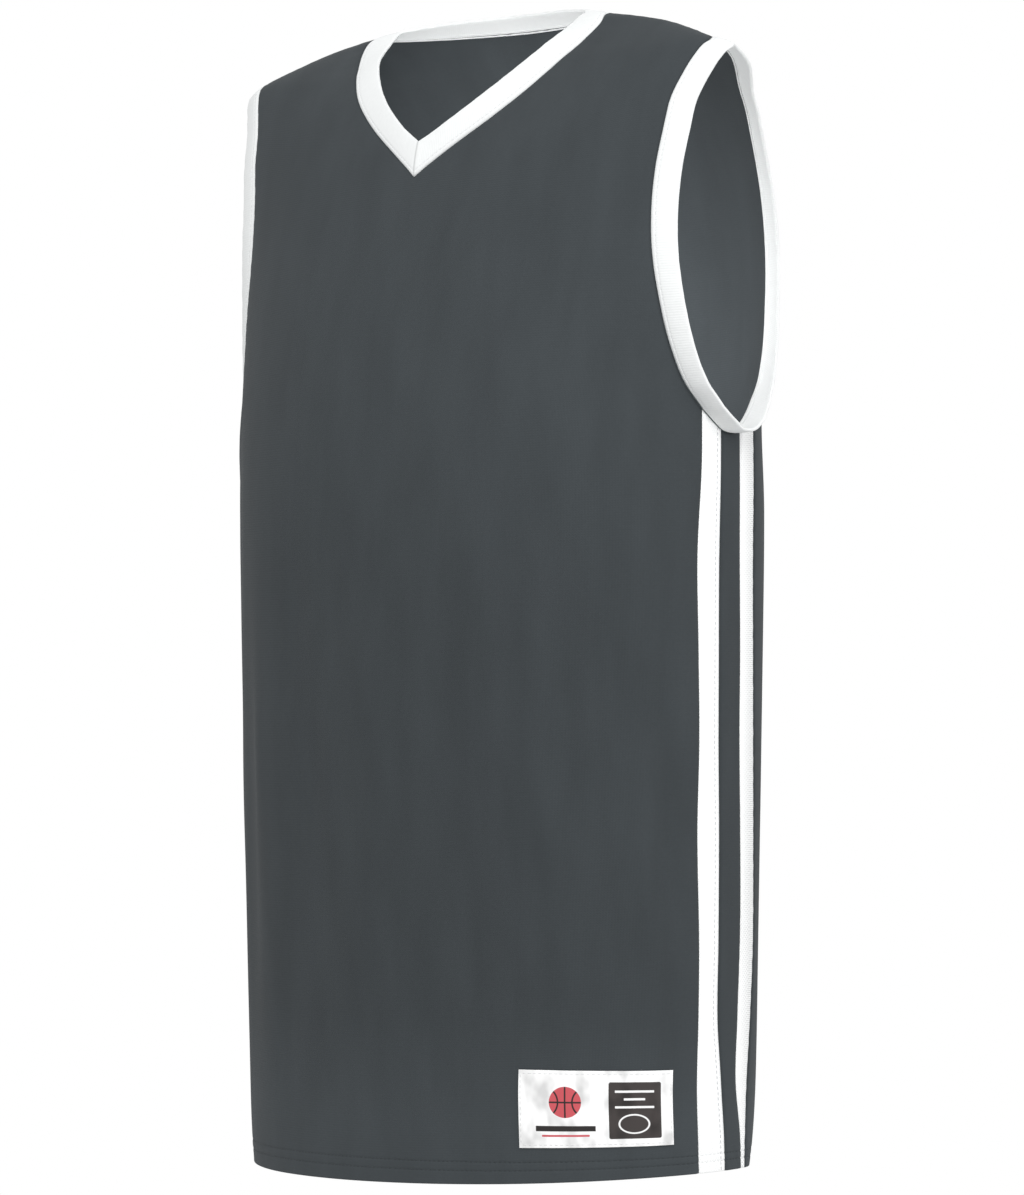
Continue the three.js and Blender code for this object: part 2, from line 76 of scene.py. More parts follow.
# Level rings of the body. The rounds are the powers of the front and back curves; 2 is an ellipse.
RING_COLUMNS = ("z", "half_width", "front", "back", "middle", "front_round", "back_round")
RINGS = (
    (6, 72, -13, 44, 8, 2, 1.6),
    (3, 88, -9.5, 47, 7, 2, 1.55),
    (0, 107, -10.5, 50, 6, 2, 1.5),
    (-5, 134, -12, 54, 5, 2.1, 1.5),
    (-10, 153, -15.5, 58, 4, 2.2, 1.5),
    (-23, 187, -26, 68, -1.5, 2.6, 1.5),
    (-32, 207, -36, 76, -2.5, 2.25, 1.65),
    (-50, 212, -51, 86, -2, 2.05, 2),
    (-80, 207, -68, 100, -1, 2.05, 2.5),
    (-110, 202, -80.5, 112, 0, 2, 2.8),
    (-150, 199, -93, 123, 3, 2, 2.78),
    (-200, 196.5, -106, 133, 6, 2.05, 2.5),
    (-260, 194.5, -116, 140, 9, 2.15, 2.15),
    (-330, 193.5, -119.5, 143, 11, 2.2, 2.2),
    (-450, 193, -115.5, 138, 11.5, 2.2, 2.2),
    (-600, 192, -109, 131, 11.5, 2.2, 2.2),
    (-700, 191, -104.5, 126, 12, 2.2, 2.2),
    (-740, 190.8, -103, 117, 13.5, 2.2, 2.2),
    (-770, 190, -100.5, 106, 15, 2.2, 2.2),
)

# The armhole seam seen from the side: height and place fore and aft
ARMHOLE_FRONT = (
    (-23, -1.5), (-27.5, -13.5), (-35, -20.5), (-50, -28), (-70, -35.3), (-100, -41.3),
    (-140, -46), (-175, -47), (-210, -43.7), (-235, -38), (-252, -30.5), (-266.5, -18.3),
)
ARMHOLE_BACK = (
    (-23, -1.5), (-28, 15), (-36, 29.3), (-47, 43.6), (-59, 53.2), (-84, 68.7),
    (-109, 78.8), (-150, 84), (-189, 81), (-216, 73.5), (-243, 57), (-258, 40.4),
)

# The armhole seam under the arm, by its place across the side strips
UNDERARM = (
    (0, UNDERARM_FRONT_Z), (0.5, -273.5), (1, -279), (1.5, -280), (2, -276), (2.5, -268),
    (3, UNDERARM_BACK_Z),
)

# The side strips' four seams, by how far they lie behind the side line
STRIP_COLUMNS = ("z", "first", "second", "third", "fourth")
STRIP_SEAMS = (
    (-255, -27.5, -10.5, 10.5, 31.5),
    (-300, -28.5, -11, 10.5, 31),
    (-360, -32.5, -13, 10, 29),
    (-420, -31.5, -13.5, 10.5, 29.5),
    (-480, -30.5, -13.5, 10, 30.5),
    (-540, -31.5, -12.5, 11.5, 32),
    (-610, -29.5, -12.5, 12.5, 33),
    (-660, -29.5, -13, 9.5, 28.5),
    (-700, -30.5, -9.5, 7, 23),
    (-740, -30.5, -7.5, 11.5, 19),
    (-770, -30, -7, 13, 18.5),
)

# The V neck, by the height of its seam: the seam's place and the opening edge across the band
NECK_COLUMNS = ("z", "seam_x", "edge_x", "edge_y", "edge_z")
NECK_FRONT = (
    (-107.8, 0, 0, -74.5, -84.4),
    (-100, 9.9, 8.8, -71.8, -78.9),
    (-90, 23.5, 20.5, -68.2, -70.8),
    (-70, 50.6, 42, -57, -53.1),
    (-50, 72.9, 59.1, -43, -35.6),
    (-30, 88.5, 71.6, -27.5, -19.3),
    (-15, 97, 76.5, -12, -8),
    (-5, 100, 78, -3, -1.5),
    (1.5, 97.5, 79.5, 4, 3.5),
)

# How the neck band leans round the back, by the angle of its seam
LEAN_COLUMNS = ("angle", "sideways", "forward", "up")
NECK_BACK = (
    (90, -0.98, -0.13, 0.11),
    (115, -0.86, -0.4, 0.28),
    (145, -0.45, -0.8, 0.4),
    (180, 0, -0.9, 0.43),
)

# How far the arm bands stand out, in degrees, by the share of the way round from the shoulder
FLARE_COLUMNS = ("share", "left", "right")
ARM_FLARE = (
    (0, 70, 58), (0.2, 64, 64), (0.31, 78, 48), (0.43, 90, 40),
    (0.5, 86, 40), (0.58, 64, 50), (0.75, 58, 64), (0.9, 56, 61),
    (1, 70, 58),
)

# The large folds: angle round the body, top, bottom, half width, depth and lean in degrees
FOLD_COLUMNS = ("angle", "top", "bottom", "half_width", "depth", "lean")
FOLDS = (
    (-49, -330, -800, 16, -2.6, 0), (-34, -240, -720, 18, 2.4, 0), (-20, -380, -840, 22, -2.6, 0),
    (-3, -300, -700, 18, 2.2, 0), (13, -420, -820, 20, -2.4, 0), (31, -270, -620, 18, 2.6, 0),
    (46, -180, -560, 20, -3, 0), (60, -400, -800, 16, 2, 0), (127, -150, -620, 20, -3.2, 0),
    (146, -330, -820, 20, 2.8, 0), (163, -240, -700, 26, -3, 0), (-172, -380, -820, 22, 2.6, 0),
    (-149, -200, -640, 24, -3.4, 0), (-124, -300, -800, 24, 2.8, 0),
)


def smooth_curve(at, value):
    """A smooth curve through values at rising places."""
    slope = np.gradient(value, at)
    slope[1:-1] = (value[2:] - value[:-2]) / (at[2:] - at[:-2])

    def curve(t):
        t = np.asarray(t, float)
        i = np.clip(np.searchsorted(at, t) - 1, 0, len(at) - 2)
        span = at[i + 1] - at[i]
        u = (t - at[i]) / span
        rise = value[i + 1] - value[i]
        a, b = slope[i] * span, slope[i + 1] * span
        return value[i] + a * u + (3 * rise - 2 * a - b) * u**2 + (a + b - 2 * rise) * u**3

    return curve


def smooth_table(columns, rows):
    """Smooth curves through a table's columns, read at any value of its first column."""
    data = np.array(sorted(rows), float)
    curves = {name: smooth_curve(data[:, 0], data[:, i]) for i, name in enumerate(columns) if i}
    return lambda t: {name: curve(t) for name, curve in curves.items()}


ring = smooth_table(RING_COLUMNS, RINGS)
strip_seams = smooth_table(STRIP_COLUMNS, STRIP_SEAMS)
neck_front = smooth_table(NECK_COLUMNS, NECK_FRONT)
neck_back = smooth_table(LEAN_COLUMNS, NECK_BACK)
arm_flare = smooth_table(FLARE_COLUMNS, ARM_FLARE)
armhole_front_y = smooth_curve(*np.array(sorted(ARMHOLE_FRONT), float).T)
armhole_back_y = smooth_curve(*np.array(sorted(ARMHOLE_BACK), float).T)
underarm_z = smooth_curve(*np.array(UNDERARM, float).T)


def bump(distance):
    """1 at the centre and 0 from distance 1 on."""
    return np.where(np.abs(distance) < 1, (1 + np.cos(np.pi * distance)) / 2, 0)


def fold_lift(angle, z, radius, folds):
    """How far the folds of a table lift the cloth."""
    lift = np.zeros_like(radius)
    for fold in folds:
        f = dict(zip(FOLD_COLUMNS, fold))
        along = (z - (f["top"] + f["bottom"]) / 2) / ((f["top"] - f["bottom"]) / 2)
        turn = angle - math.radians(f["angle"]) - math.radians(f["lean"]) * along
        turn = np.arctan2(np.sin(turn), np.cos(turn))
        lift += f["depth"] * bump(turn * radius / (2 * f["half_width"])) * bump(along)
    return lift


def body_form(angle, z):
    """Points of the body's outer surface: angle 0 is the centre front, +90 degrees the left side."""
    angle, z = np.broadcast_arrays(np.asarray(angle, float), np.asarray(z, float))
    size = ring(z)
    front = np.cos(angle) >= 0
    power = 2 / np.where(front, size["front_round"], size["back_round"])
    depth = np.where(front, size["middle"] - size["front"], size["back"] - size["middle"])
    x = size["half_width"] * np.sign(np.sin(angle)) * np.abs(np.sin(angle)) ** power
    y = size["middle"] - depth * np.sign(np.cos(angle)) * np.abs(np.cos(angle)) ** power
    radius = np.hypot(x, y - size["middle"])
    lift = fold_lift(angle, z, radius, FOLDS + CREASES) / np.maximum(radius, 1)
    low = np.maximum(0, (HEM_LIFT_TOP_Z - z) / (HEM_LIFT_TOP_Z - HEM_Z)) ** 2
    share = x / size["half_width"]
    rise = low * (HEM_RISE * share**2 + HEM_TILT * share)
    return np.stack([x * (1 + lift), y + (y - size["middle"]) * lift, z + rise], axis=-1)

# The small creases between the large folds, on the same columns
CREASES = (
    (10.5, -225, -345, 6, 1.1, -1), (4, -240, -320, 6, -1.0, 0.5), (50.5, -235, -345, 7, -1.3, 1),
    (39.5, -255, -360, 7, 1.0, -1), (20, -310, -400, 7, 1.1, -2), (-1.5, -330, -540, 9, 1.2, 1),
    (-20.5, -340, -450, 7, -1.2, 0.5), (-17.5, -430, -560, 7, -1.2, -0.5),
    (10, -500, -590, 6, 1.1, -1), (37, -500, -600, 6, 1.1, -2), (12, -640, -735, 8, -1.1, 0),
    (-29, -630, -730, 9, -1.2, 1), (-7, -420, -600, 8, -1.0, 0), (27, -390, -520, 7, -1.0, 1),
    (57, -380, -520, 7, 0.9, -1), (66, -430, -640, 6, -0.9, 1), (-38, -420, -560, 7, 0.9, 1),
    (-55, -260, -420, 8, -1.0, 2), (-63, -420, -600, 7, 0.8, -1), (48, -560, -700, 7, 0.9, 1),
    (22, -560, -680, 7, -0.9, -1), (2, -600, -720, 7, 0.9, 0.5), (-60, -230, -330, 7, 1.0, 8),
    (60, -225, -330, 7, -1.0, -7), (172, -200, -330, 8, 1.1, 2), (-165, -260, -420, 8, -1.1, -2),
    (152, -380, -520, 8, -1.0, 1), (-140, -300, -460, 8, 1.0, -1), (137, -220, -330, 7, 1.0, -5),
    (-133, -210, -330, 7, -1.1, 6), (176, -470, -640, 9, 1.1, 0.5), (-158, -520, -690, 8, 0.9, 1),
    (120, -420, -590, 8, -0.9, 1), (-112, -420, -560, 7, 0.9, -1), (160, -600, -730, 8, -1, 1),
    (-130, -590, -730, 8, -1, -1), (-178, -640, -740, 7, -0.9, 0), (88, -380, -520, 6, 0.7, 0),
    (-92, -330, -470, 6, -0.7, 0), (96, -560, -690, 6, -0.7, 1), (-86, -560, -680, 6, 0.7, -1),
)

# Distances in from a seam at which the cloth has its closest columns, in millimetres
SEAM_STEPS = np.array((0, 0.5, 1.1, 1.8, 2.8, 4.2, 6.2, 9.0))
MIDDLE_COLUMNS = 56
STRIP_PLACES = np.array(
    (0, 0.025, 0.055, 0.09, 0.14, 0.2, 0.28, 0.38, 0.5, 0.62, 0.72, 0.8, 0.86, 0.91, 0.945, 0.975, 1)
)

# Heights above the hem at which the turned hem and its two needle rows have their points
HEM_STEPS = np.array(
    (0, 0.2, 0.5, 0.9, 1.4, 2.1, 3, 4, 5, 6, 7, 8, 8.6, 9.1, 9.5, 9.9, 10.4, 11, 12, 13, 14)
    + (14.6, 15.1, 15.5, 15.9, 16.4, 17, 18, 19, 19.6, 20.2, 21, 22.5, 24)
)
NEEDLE_ROWS = (9.5, 15.5)
SHOULDER_LEGS = ((TIP_Z, -17, 4), (-17, -11.5, 4), (-11.5, -6, 4), (-6, -2, 4), (-2, NECK_TOP_Z, 5))
BODY_LEGS = ((LABEL_BOTTOM_Z, LABEL_TOP_Z, 18), (LABEL_TOP_Z, CHEST_Z, 118))
FRONT_LEGS = (
    (CHEST_Z, UNDERARM_FRONT_Z, 11),
    (UNDERARM_FRONT_Z, V_SEAM_Z, 50),
    (V_SEAM_Z, TIP_Z, 28),
    *SHOULDER_LEGS,
)
BACK_LEGS = ((CHEST_Z, UNDERARM_BACK_Z, 13), (UNDERARM_BACK_Z, TIP_Z, 74), *SHOULDER_LEGS)
STRIP_TOP_ROWS = 12
BACK_NECK_BLEND_Z = -8.0
NECK_BACK_STATIONS = 70


def angle_at_y(y, z):
    """The angle at which a level ring passes a given y."""
    size = ring(z)
    front = y <= size["middle"]
    power = np.where(front, size["front_round"], size["back_round"]) / 2
    depth = np.where(front, size["middle"] - size["front"], size["back"] - size["middle"])
    cosine = np.minimum(1, np.abs(y - size["middle"]) / depth) ** power
    return np.arccos(np.where(front, cosine, -cosine))


def angle_at_place(place, z):
    """The angle of a place across the side strips, from 0 in front to 3 behind."""
    place, z = np.broadcast_arrays(np.asarray(place, float), np.asarray(z, float))
    seams = np.stack([curve for curve in strip_seams(z).values()])
    before = np.clip(np.floor(place).astype(int), 0, STRIP_COUNT - 1)
    low = np.take_along_axis(seams, before[None], 0)[0]
    high = np.take_along_axis(seams, before[None] + 1, 0)[0]
    return angle_at_y(ring(z)["middle"] + low + (place - before) * (high - low), z)


def neck_seam_angle(z):
    size = ring(z)
    across = np.clip(neck_front(z)["seam_x"] / size["half_width"], 0, 1)
    angle = np.arcsin(across ** (size["front_round"] / 2))
    return np.where(z >= NECK_TOP_Z, SIDE_ANGLE, np.where(z > V_SEAM_Z, angle, 0))


def front_edge_angle(z):
    side = angle_at_place(0, z)
    hole = angle_at_y(armhole_front_y(z), z)
    return np.where(z >= TIP_Z, SIDE_ANGLE, np.where(z <= UNDERARM_FRONT_Z, side, hole))


def back_edge_angle(z):
    side = angle_at_place(STRIP_COUNT, z)
    hole = angle_at_y(armhole_back_y(z), z)
    return np.where(z >= TIP_Z, SIDE_ANGLE, np.where(z <= UNDERARM_BACK_Z, side, hole))


def body_normal(angle, z):
    """Outward directions of the body's surface."""
    turn, rise = math.radians(0.4), 0.5
    across = body_form(angle + turn, z) - body_form(angle - turn, z)
    up = body_form(angle, z + rise) - body_form(angle, z - rise)
    return unit(np.cross(across, up))


def unit(vectors):
    return vectors / np.maximum(np.linalg.norm(vectors, axis=-1, keepdims=True), 1e-9)


def walked(points, axis):
    """Distances along a grid's rows or columns from their start."""
    step = np.linalg.norm(np.diff(points, axis=axis), axis=-1)
    start = np.zeros_like(np.take(step, [0], axis=axis))
    return np.concatenate([start, np.cumsum(step, axis=axis)], axis=axis)


def legs(*runs):
    """Heights along runs of from, to and number of steps."""
    parts = [np.linspace(start, end, count, endpoint=False) for start, end, count in runs]
    return np.concatenate(parts + [[runs[-1][1]]])


def uneven(distance):
    """An uneven wave between about -1 and 1, for cloth that gathers a little along a seam."""
    return (
        0.5 * np.sin(distance / 1.55 + 1.1)
        + 0.3 * np.sin(distance / 2.3 + 0.4)
        + 0.2 * np.sin(distance / 3.7 + 2.0)
    )


def column_stations(length):
    """Places across a row of one length: close by both seams and even between them."""
    reach = SEAM_STEPS[-1]
    scale = min(1, length / (3 * reach))
    near = SEAM_STEPS * scale
    middle = np.linspace(reach * scale, length - reach * scale, MIDDLE_COLUMNS + 1)[1:-1]
    return np.concatenate([near, middle, (length - near)[::-1]])


def half_panel(side, heights, inner, outer):
    """Angles of half a panel's points, row by row."""
    share = np.linspace(0, 1, 241)
    angle = inner[:, None] + (outer - inner)[:, None] * share
    length = walked(body_form(side * angle, heights[:, None]), 1)
    rows = [
        np.interp(column_stations(along[-1]), along, row) if along[-1] > 1e-6 else None
        for along, row in zip(length, angle)
    ]
    columns = len(SEAM_STEPS) * 2 + MIDDLE_COLUMNS - 1
    return np.stack([np.full(columns, a[-1]) if row is None else row for row, a in zip(rows, angle)])


def first_column_offset(side, heights, inner):
    share = np.linspace(0, 1, 61)
    start = np.where(inner > SIDE_ANGLE * 1.5, math.pi, 0)[:, None]
    angle = start + (inner[:, None] - start) * share
    return walked(body_form(side * angle, heights[:, None]), 1)[:, -1]


def grid_of(side, angle, z, offset):
    """A grid of cloth on the body's surface with its flat place in millimetres."""
    form = body_form(side * angle, z)
    across = offset[:, None] + walked(form, 1)
    return {
        "form": form,
        "angle": side * angle,
        "normal": body_normal(side * angle, z),
        "z": z,
        "uv": np.stack([side * across, walked(form, 0)], axis=-1),
    }


def front_grids():
    z = np.concatenate([HEM_Z + HEM_STEPS, legs(*BODY_LEGS, *FRONT_LEGS)])
    inner, outer = neck_seam_angle(z), front_edge_angle(z)
    first_neck_row = int(np.searchsorted(z, V_SEAM_Z))
    grids = []
    for side in (1, -1):
        angle = half_panel(side, z, inner, outer)
        grid = grid_of(side, angle, np.broadcast_to(z[:, None], angle.shape),
                       first_column_offset(side, z, inner))
        neck = grid["form"][first_neck_row:, 0]
        grid["seams"] = [grid["form"][:, -1], neck]
        grids.append(grid)
    return grids


def back_neck_rise(angle, z):
    """How much higher the back's top rows run towards the centre back."""
    share = np.clip((z - BACK_NECK_BLEND_Z) / (NECK_TOP_Z - BACK_NECK_BLEND_Z), 0, 1)
    return BACK_NECK_RISE * np.cos(angle) ** 2 * share**2


def back_grids():
    z = np.concatenate([HEM_Z + HEM_STEPS, legs(*BODY_LEGS, *BACK_LEGS)])
    inner, outer = np.full(len(z), math.pi), back_edge_angle(z)
    grids = []
    for side in (1, -1):
        angle = half_panel(side, z, inner, outer)
        level = z[:, None] + back_neck_rise(angle, z[:, None])
        grid = grid_of(side, angle, level, np.zeros(len(z)))
        grid["seams"] = [grid["form"][:, -1], grid["form"][-1]]
        grids.append(grid)
    return grids


def strip_grid(side, strip):
    """One of the side strips, counted from the front, from the hem up to the armhole seam."""
    place = strip + STRIP_PLACES
    lower = np.concatenate([HEM_Z + HEM_STEPS, legs(*BODY_LEGS)])
    share = np.linspace(0, 1, STRIP_TOP_ROWS + 1)[1:, None]
    upper = CHEST_Z + share * (underarm_z(place)[None] - CHEST_Z)
    z = np.concatenate([np.repeat(lower[:, None], len(place), 1), upper])
    angle = angle_at_place(np.broadcast_to(place, z.shape), z)
    grid = grid_of(side, angle, z, np.zeros(len(z)))
    grid["seams"] = [grid["form"][:, 0], grid["form"][:, -1], grid["form"][-1]]
    return grid


def spaced(line, step):
    """A line's points again at an even step, with the distance of each from the start."""
    along = walked(line, 0)
    places = np.linspace(0, along[-1], max(2, int(along[-1] / step)))
    return np.stack([np.interp(places, along, line[:, i]) for i in range(3)], axis=-1), places


def near_seam(points, lines):
    """Each point's distance from the closest seam, and the place along it."""
    spread = [spaced(line, 0.4) for line in lines if walked(line, 0)[-1] > 1]
    dots = np.concatenate([line for line, _ in spread])
    places = np.concatenate([along + 37 * i for i, (_, along) in enumerate(spread)])
    tree = KDTree(len(dots))
    for i, dot in enumerate(dots):
        tree.insert(dot, i)
    tree.balance()
    found = [tree.find(point)[1:] for point in points.reshape(-1, 3)]
    distance = np.array([d for _, d in found]).reshape(points.shape[:-1])
    along = places[[i for i, _ in found]].reshape(points.shape[:-1])
    return distance, along


def finish_grid(grid, sizes):
    """Gives a grid its sewn edges, its turned hem and the cloth's thickness."""
    wall, round_over = sizes.cloth_wall * MM_PER_M, sizes.cloth_wall * MM_PER_M
    distance, along = near_seam(grid["form"], grid["seams"])
    groove = -sizes.seam_depth * MM_PER_M * np.exp(-((distance / 1.3) ** 2))
    gather = 0.28 * uneven(along) * (1 - np.exp(-distance / 1.5)) * np.exp(-distance / 9)
    above = np.maximum(grid["z"] - HEM_Z, 0)
    needle = sum(np.exp(-(((above - row) / 0.8) ** 2)) for row in NEEDLE_ROWS)
    round_hem = 170 * np.abs(grid["angle"]) + 12 * np.sin(grid["angle"])
    hem_gather = 0.25 * uneven(round_hem + 0.4 * above) * bump((above - 12.5) / 14)
    short = np.maximum(round_over - above, 0) * 0.97
    inset = round_over - np.sqrt(round_over**2 - short**2)
    turned = np.clip((sizes.hem_depth * MM_PER_M - above) / 1.2, 0, 1)
    layers = 1 + turned * turned * (3 - 2 * turned)
    soft = gather + hem_gather
    outer = groove + soft - 0.3 * needle - inset
    inner = 0.5 * groove + soft - wall * layers + inset
    normal = grid["normal"]
    grid["outer"] = grid["form"] + normal * outer[..., None]
    grid["inner"] = grid["form"] + normal * inner[..., None]
    grid["seam"] = distance
    return grid


def grid_faces(shape, start):
    """The corners of a grid's faces, as places in its list of points."""
    index = start + np.arange(shape[0] * shape[1]).reshape(shape)
    corners = (index[:-1, :-1], index[:-1, 1:], index[1:, 1:], index[1:, :-1])
    return np.stack([c.ravel() for c in corners], axis=-1)


def facing_out(faces, points, normals):
    """The faces, turned round if they face against the normals."""
    a, b, d = points[faces[:, 0]], points[faces[:, 1]], points[faces[:, 3]]
    turn = np.einsum("ij,ij->i", np.cross(b - a, d - a), normals[faces[:, 0]]).sum()
    return faces if turn > 0 else faces[:, ::-1]


def make_mesh(name, points, faces, face_uv, seam=None):
    """A mesh object in metres from points in mm, faces and each face corner's flat place."""
    kept, kept_uv = [], []
    for face, flat in zip(faces.tolist(), face_uv):
        rest = [i for i in range(len(face)) if face[i] != face[i - 1]]
        if len(rest) > 2:
            kept.append([face[i] for i in rest])
            kept_uv.append(flat[rest])
    mesh = bpy.data.meshes.new(name)
    mesh.from_pydata((points / MM_PER_M).tolist(), [], kept)
    layer = mesh.uv_layers.new(name=CLOTH_UV)
    layer.data.foreach_set("uv", (np.concatenate(kept_uv) / MM_PER_M).astype(np.float32).ravel())
    if seam is not None:
        stored = mesh.attributes.new(SEAM_ATTRIBUTE, "FLOAT", "POINT")
        stored.data.foreach_set("value", seam.astype(np.float32))
    mesh.polygons.foreach_set("use_smooth", np.ones(len(kept), bool))
    mesh.update()
    piece = bpy.data.objects.new(name, mesh)
    bpy.context.scene.collection.objects.link(piece)
    return piece


def weld(points):
    """For each point the number it shares with those in its place, and one point of each number."""
    key = np.round(points * MM_PER_M).astype(np.int64)
    _, first, place = np.unique(key, axis=0, return_index=True, return_inverse=True)
    return place.ravel(), first


def sew(name, grids):
    """One closed piece of cloth from finished grids that share their edges."""
    outer = np.concatenate([g["outer"].reshape(-1, 3) for g in grids])
    inner = np.concatenate([g["inner"].reshape(-1, 3) for g in grids])
    normal = np.concatenate([g["normal"].reshape(-1, 3) for g in grids])
    uv = np.concatenate([g["uv"].reshape(-1, 2) for g in grids])
    seam = np.concatenate([g["seam"].ravel() for g in grids])
    starts = np.cumsum([0] + [g["outer"][..., 0].size for g in grids])
    faces = np.concatenate([
        facing_out(grid_faces(g["outer"].shape[:2], start), outer, normal)
        for g, start in zip(grids, starts)
    ])
    place, first = weld(outer)
    count = len(first)
    outside = place[faces]
    start, end = outside.ravel(), np.roll(outside, -1, axis=1).ravel()
    real = start != end
    start, end = start[real], end[real]
    open_edge = ~np.isin(end * count + start, start * count + end)
    start, end = start[open_edge], end[open_edge]
    rim = np.stack([end, start, start + count, end + count], axis=-1)
    all_faces = np.concatenate([outside, outside[:, ::-1] + count, rim])
    flat = uv[first]
    rim_uv = np.stack([flat[end], flat[start], flat[start], flat[end]], axis=1)
    all_uv = np.concatenate([uv[faces], uv[faces][:, ::-1], rim_uv])
    points = np.concatenate([outer[first], inner[first]])
    return make_mesh(name, points, all_faces, all_uv, np.tile(seam[first], 2))


def cloth_area(grids):
    """A piece's flat area in square metres, from its own surface."""
    total = 0.0
    for grid in grids:
        form = grid["form"]
        across, up = form[:-1, 1:] - form[:-1, :-1], form[1:, :-1] - form[:-1, :-1]
        total += np.linalg.norm(np.cross(across, up), axis=-1).sum()
    return total / MM_PER_M**2


def declare_cloth(grids):
    """Works out what a piece of cloth was cut to: its widest row, its longest column and its area, which
    are not kept.
    """
    uv = np.concatenate([g["uv"].reshape(-1, 2) for g in grids])
    width, length = (float(size) / MM_PER_M for size in np.ptp(uv, axis=0))
    area = min(cloth_area(grids), width * length)


def place_piece(piece, material, node=None):
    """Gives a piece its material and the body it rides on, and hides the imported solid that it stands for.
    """
    piece.data.materials.append(material)
    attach(piece, "root")
    if node:
        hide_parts(node)
    return piece


# ---- Bands ----

BAND_ROUND_STEPS = 6


def band_section(width, thickness, crown, seam_depth):
    """A folded band's section: distance from its seam and height off its own middle line."""
    half = thickness / 2
    over = np.array((-0.8, -0.2, 0.3, 0.8, 1.4, 2.0, 2.3, 2.6, 2.9, 3.4, 4.4, 6, 8, 10, 12, 14))
    over = np.concatenate([over[over < width - half - 0.8], [width - half]])

    def height(t):
        rise = (seam_depth + 0.75) * (1 - np.exp(-(t + 0.8) / 0.9)) - seam_depth - 0.3
        stitched = -0.28 * np.exp(-(((t - 2.6) / 0.35) ** 2))
        return rise + stitched + crown * np.sin(np.pi * np.clip(t / width, 0, 1))

    turn = np.linspace(0, np.pi, BAND_ROUND_STEPS + 1)[1:-1]
    top = height(width - half)
    fold = np.stack([width - half + half * np.sin(turn), top - half + half * np.cos(turn)], -1)
    back = over[::-1]
    thin = np.clip((back + 0.8) / 3.3, 0, 1)
    under = height(back) - thickness * (0.5 + 0.5 * thin)
    outside = np.stack([over, height(over)], -1)
    inside = np.stack([back, under], -1)
    return np.concatenate([outside, fold, inside, outside[:1]])


def smoothed(values, along, girth, reach):
    """Values round a closed line, each an average of those within reach."""
    apart = np.abs(along[:, None] - along[None])
    apart = np.minimum(apart, girth - apart)
    weight = np.exp(-((apart / reach) ** 2))
    return (weight @ values) / weight.sum(1, keepdims=True)


def sew_band(name, seam, edge, outward_turn, sizes, crown=0.5):
    """A closed band of doubled rib from its seam line and its opening edge, both closed rings."""
    closed_seam = np.concatenate([seam, seam[:1]])
    along = walked(closed_seam, 0)
    across = edge - seam
    width = np.linalg.norm(across, axis=-1)
    middle = seam + across / 2
    direction = np.roll(middle, -1, axis=0) - np.roll(middle, 1, axis=0)
    normal = unit(np.cross(unit(direction), unit(across))) * outward_turn
    section = band_section(
        float(np.median(width)),
        sizes.band_thickness * MM_PER_M,
        crown,
        sizes.seam_depth * MM_PER_M,
    )
    share = section[:, 0] / np.median(width)
    free = np.clip(share, 0, 1)
    wave = 0.22 * uneven(along[:-1] * 0.7)[:, None] * free
    points = (
        seam[:, None]
        + across[:, None] * share[None, :, None]
        + normal[:, None] * (section[:, 1] + wave)[..., None]
    )
    points = np.concatenate([points, points[:1]])
    round_it = walked(np.stack([section[:, 0], section[:, 1]], -1), 0)
    uv = np.stack(np.broadcast_arrays(along[:, None], round_it[None]), axis=-1)
    flat_points = points.reshape(-1, 3)
    faces = grid_faces(points.shape[:2], 0)
    centre = (seam[:, None] + across[:, None] * 0.5 - normal[:, None]).repeat(len(section), 1)
    centre = np.concatenate([centre, centre[:1]]).reshape(-1, 3)
    faces = facing_out(faces, flat_points, flat_points - centre)
    place, first = weld(flat_points)
    piece = make_mesh(name, flat_points[first], place[faces], uv.reshape(-1, 2)[faces])
    stitch = int(np.argmin(np.abs(section[: len(section) // 2, 0] - 2.6)))
    girth = float(along[-1]) / MM_PER_M
    return piece, girth, float(np.median(width)) / MM_PER_M, points[:, stitch], normal


def armhole_seam(side):
    """The armhole seam all the way round: down the front, under the arm and up the back."""
    front = legs(*FRONT_LEGS[1:3])[1:][::-1]
    back = legs(BACK_LEGS[1])[1:-1]
    down = body_form(side * front_edge_angle(front), front)
    up = body_form(side * back_edge_angle(back), back)
    place = np.concatenate([i + STRIP_PLACES[:-1] for i in range(STRIP_COUNT)] + [[STRIP_COUNT]])
    level = underarm_z(place)
    under = body_form(side * angle_at_place(place, level), level)
    return np.concatenate([down, under, up])


def arm_band_rings(side, width):
    """An arm band's seam and opening edge, both closed rings of points."""
    seam = armhole_seam(side)
    along = walked(np.concatenate([seam, seam[:1]]), 0)
    girth, along = along[-1], along[:-1]
    before, after = np.roll(seam, 1, axis=0), np.roll(seam, -1, axis=0)
    across = np.stack([np.zeros(len(seam)), before[:, 2] - after[:, 2], after[:, 1] - before[:, 1]], -1)
    across = unit(smoothed(unit(across), along, girth, 17.0))
    flare = np.radians(arm_flare(along / girth)["left" if side > 0 else "right"])
    across = across * np.cos(flare)[:, None]
    across[:, 0] = side * np.sin(flare)
    return seam, seam + across * width


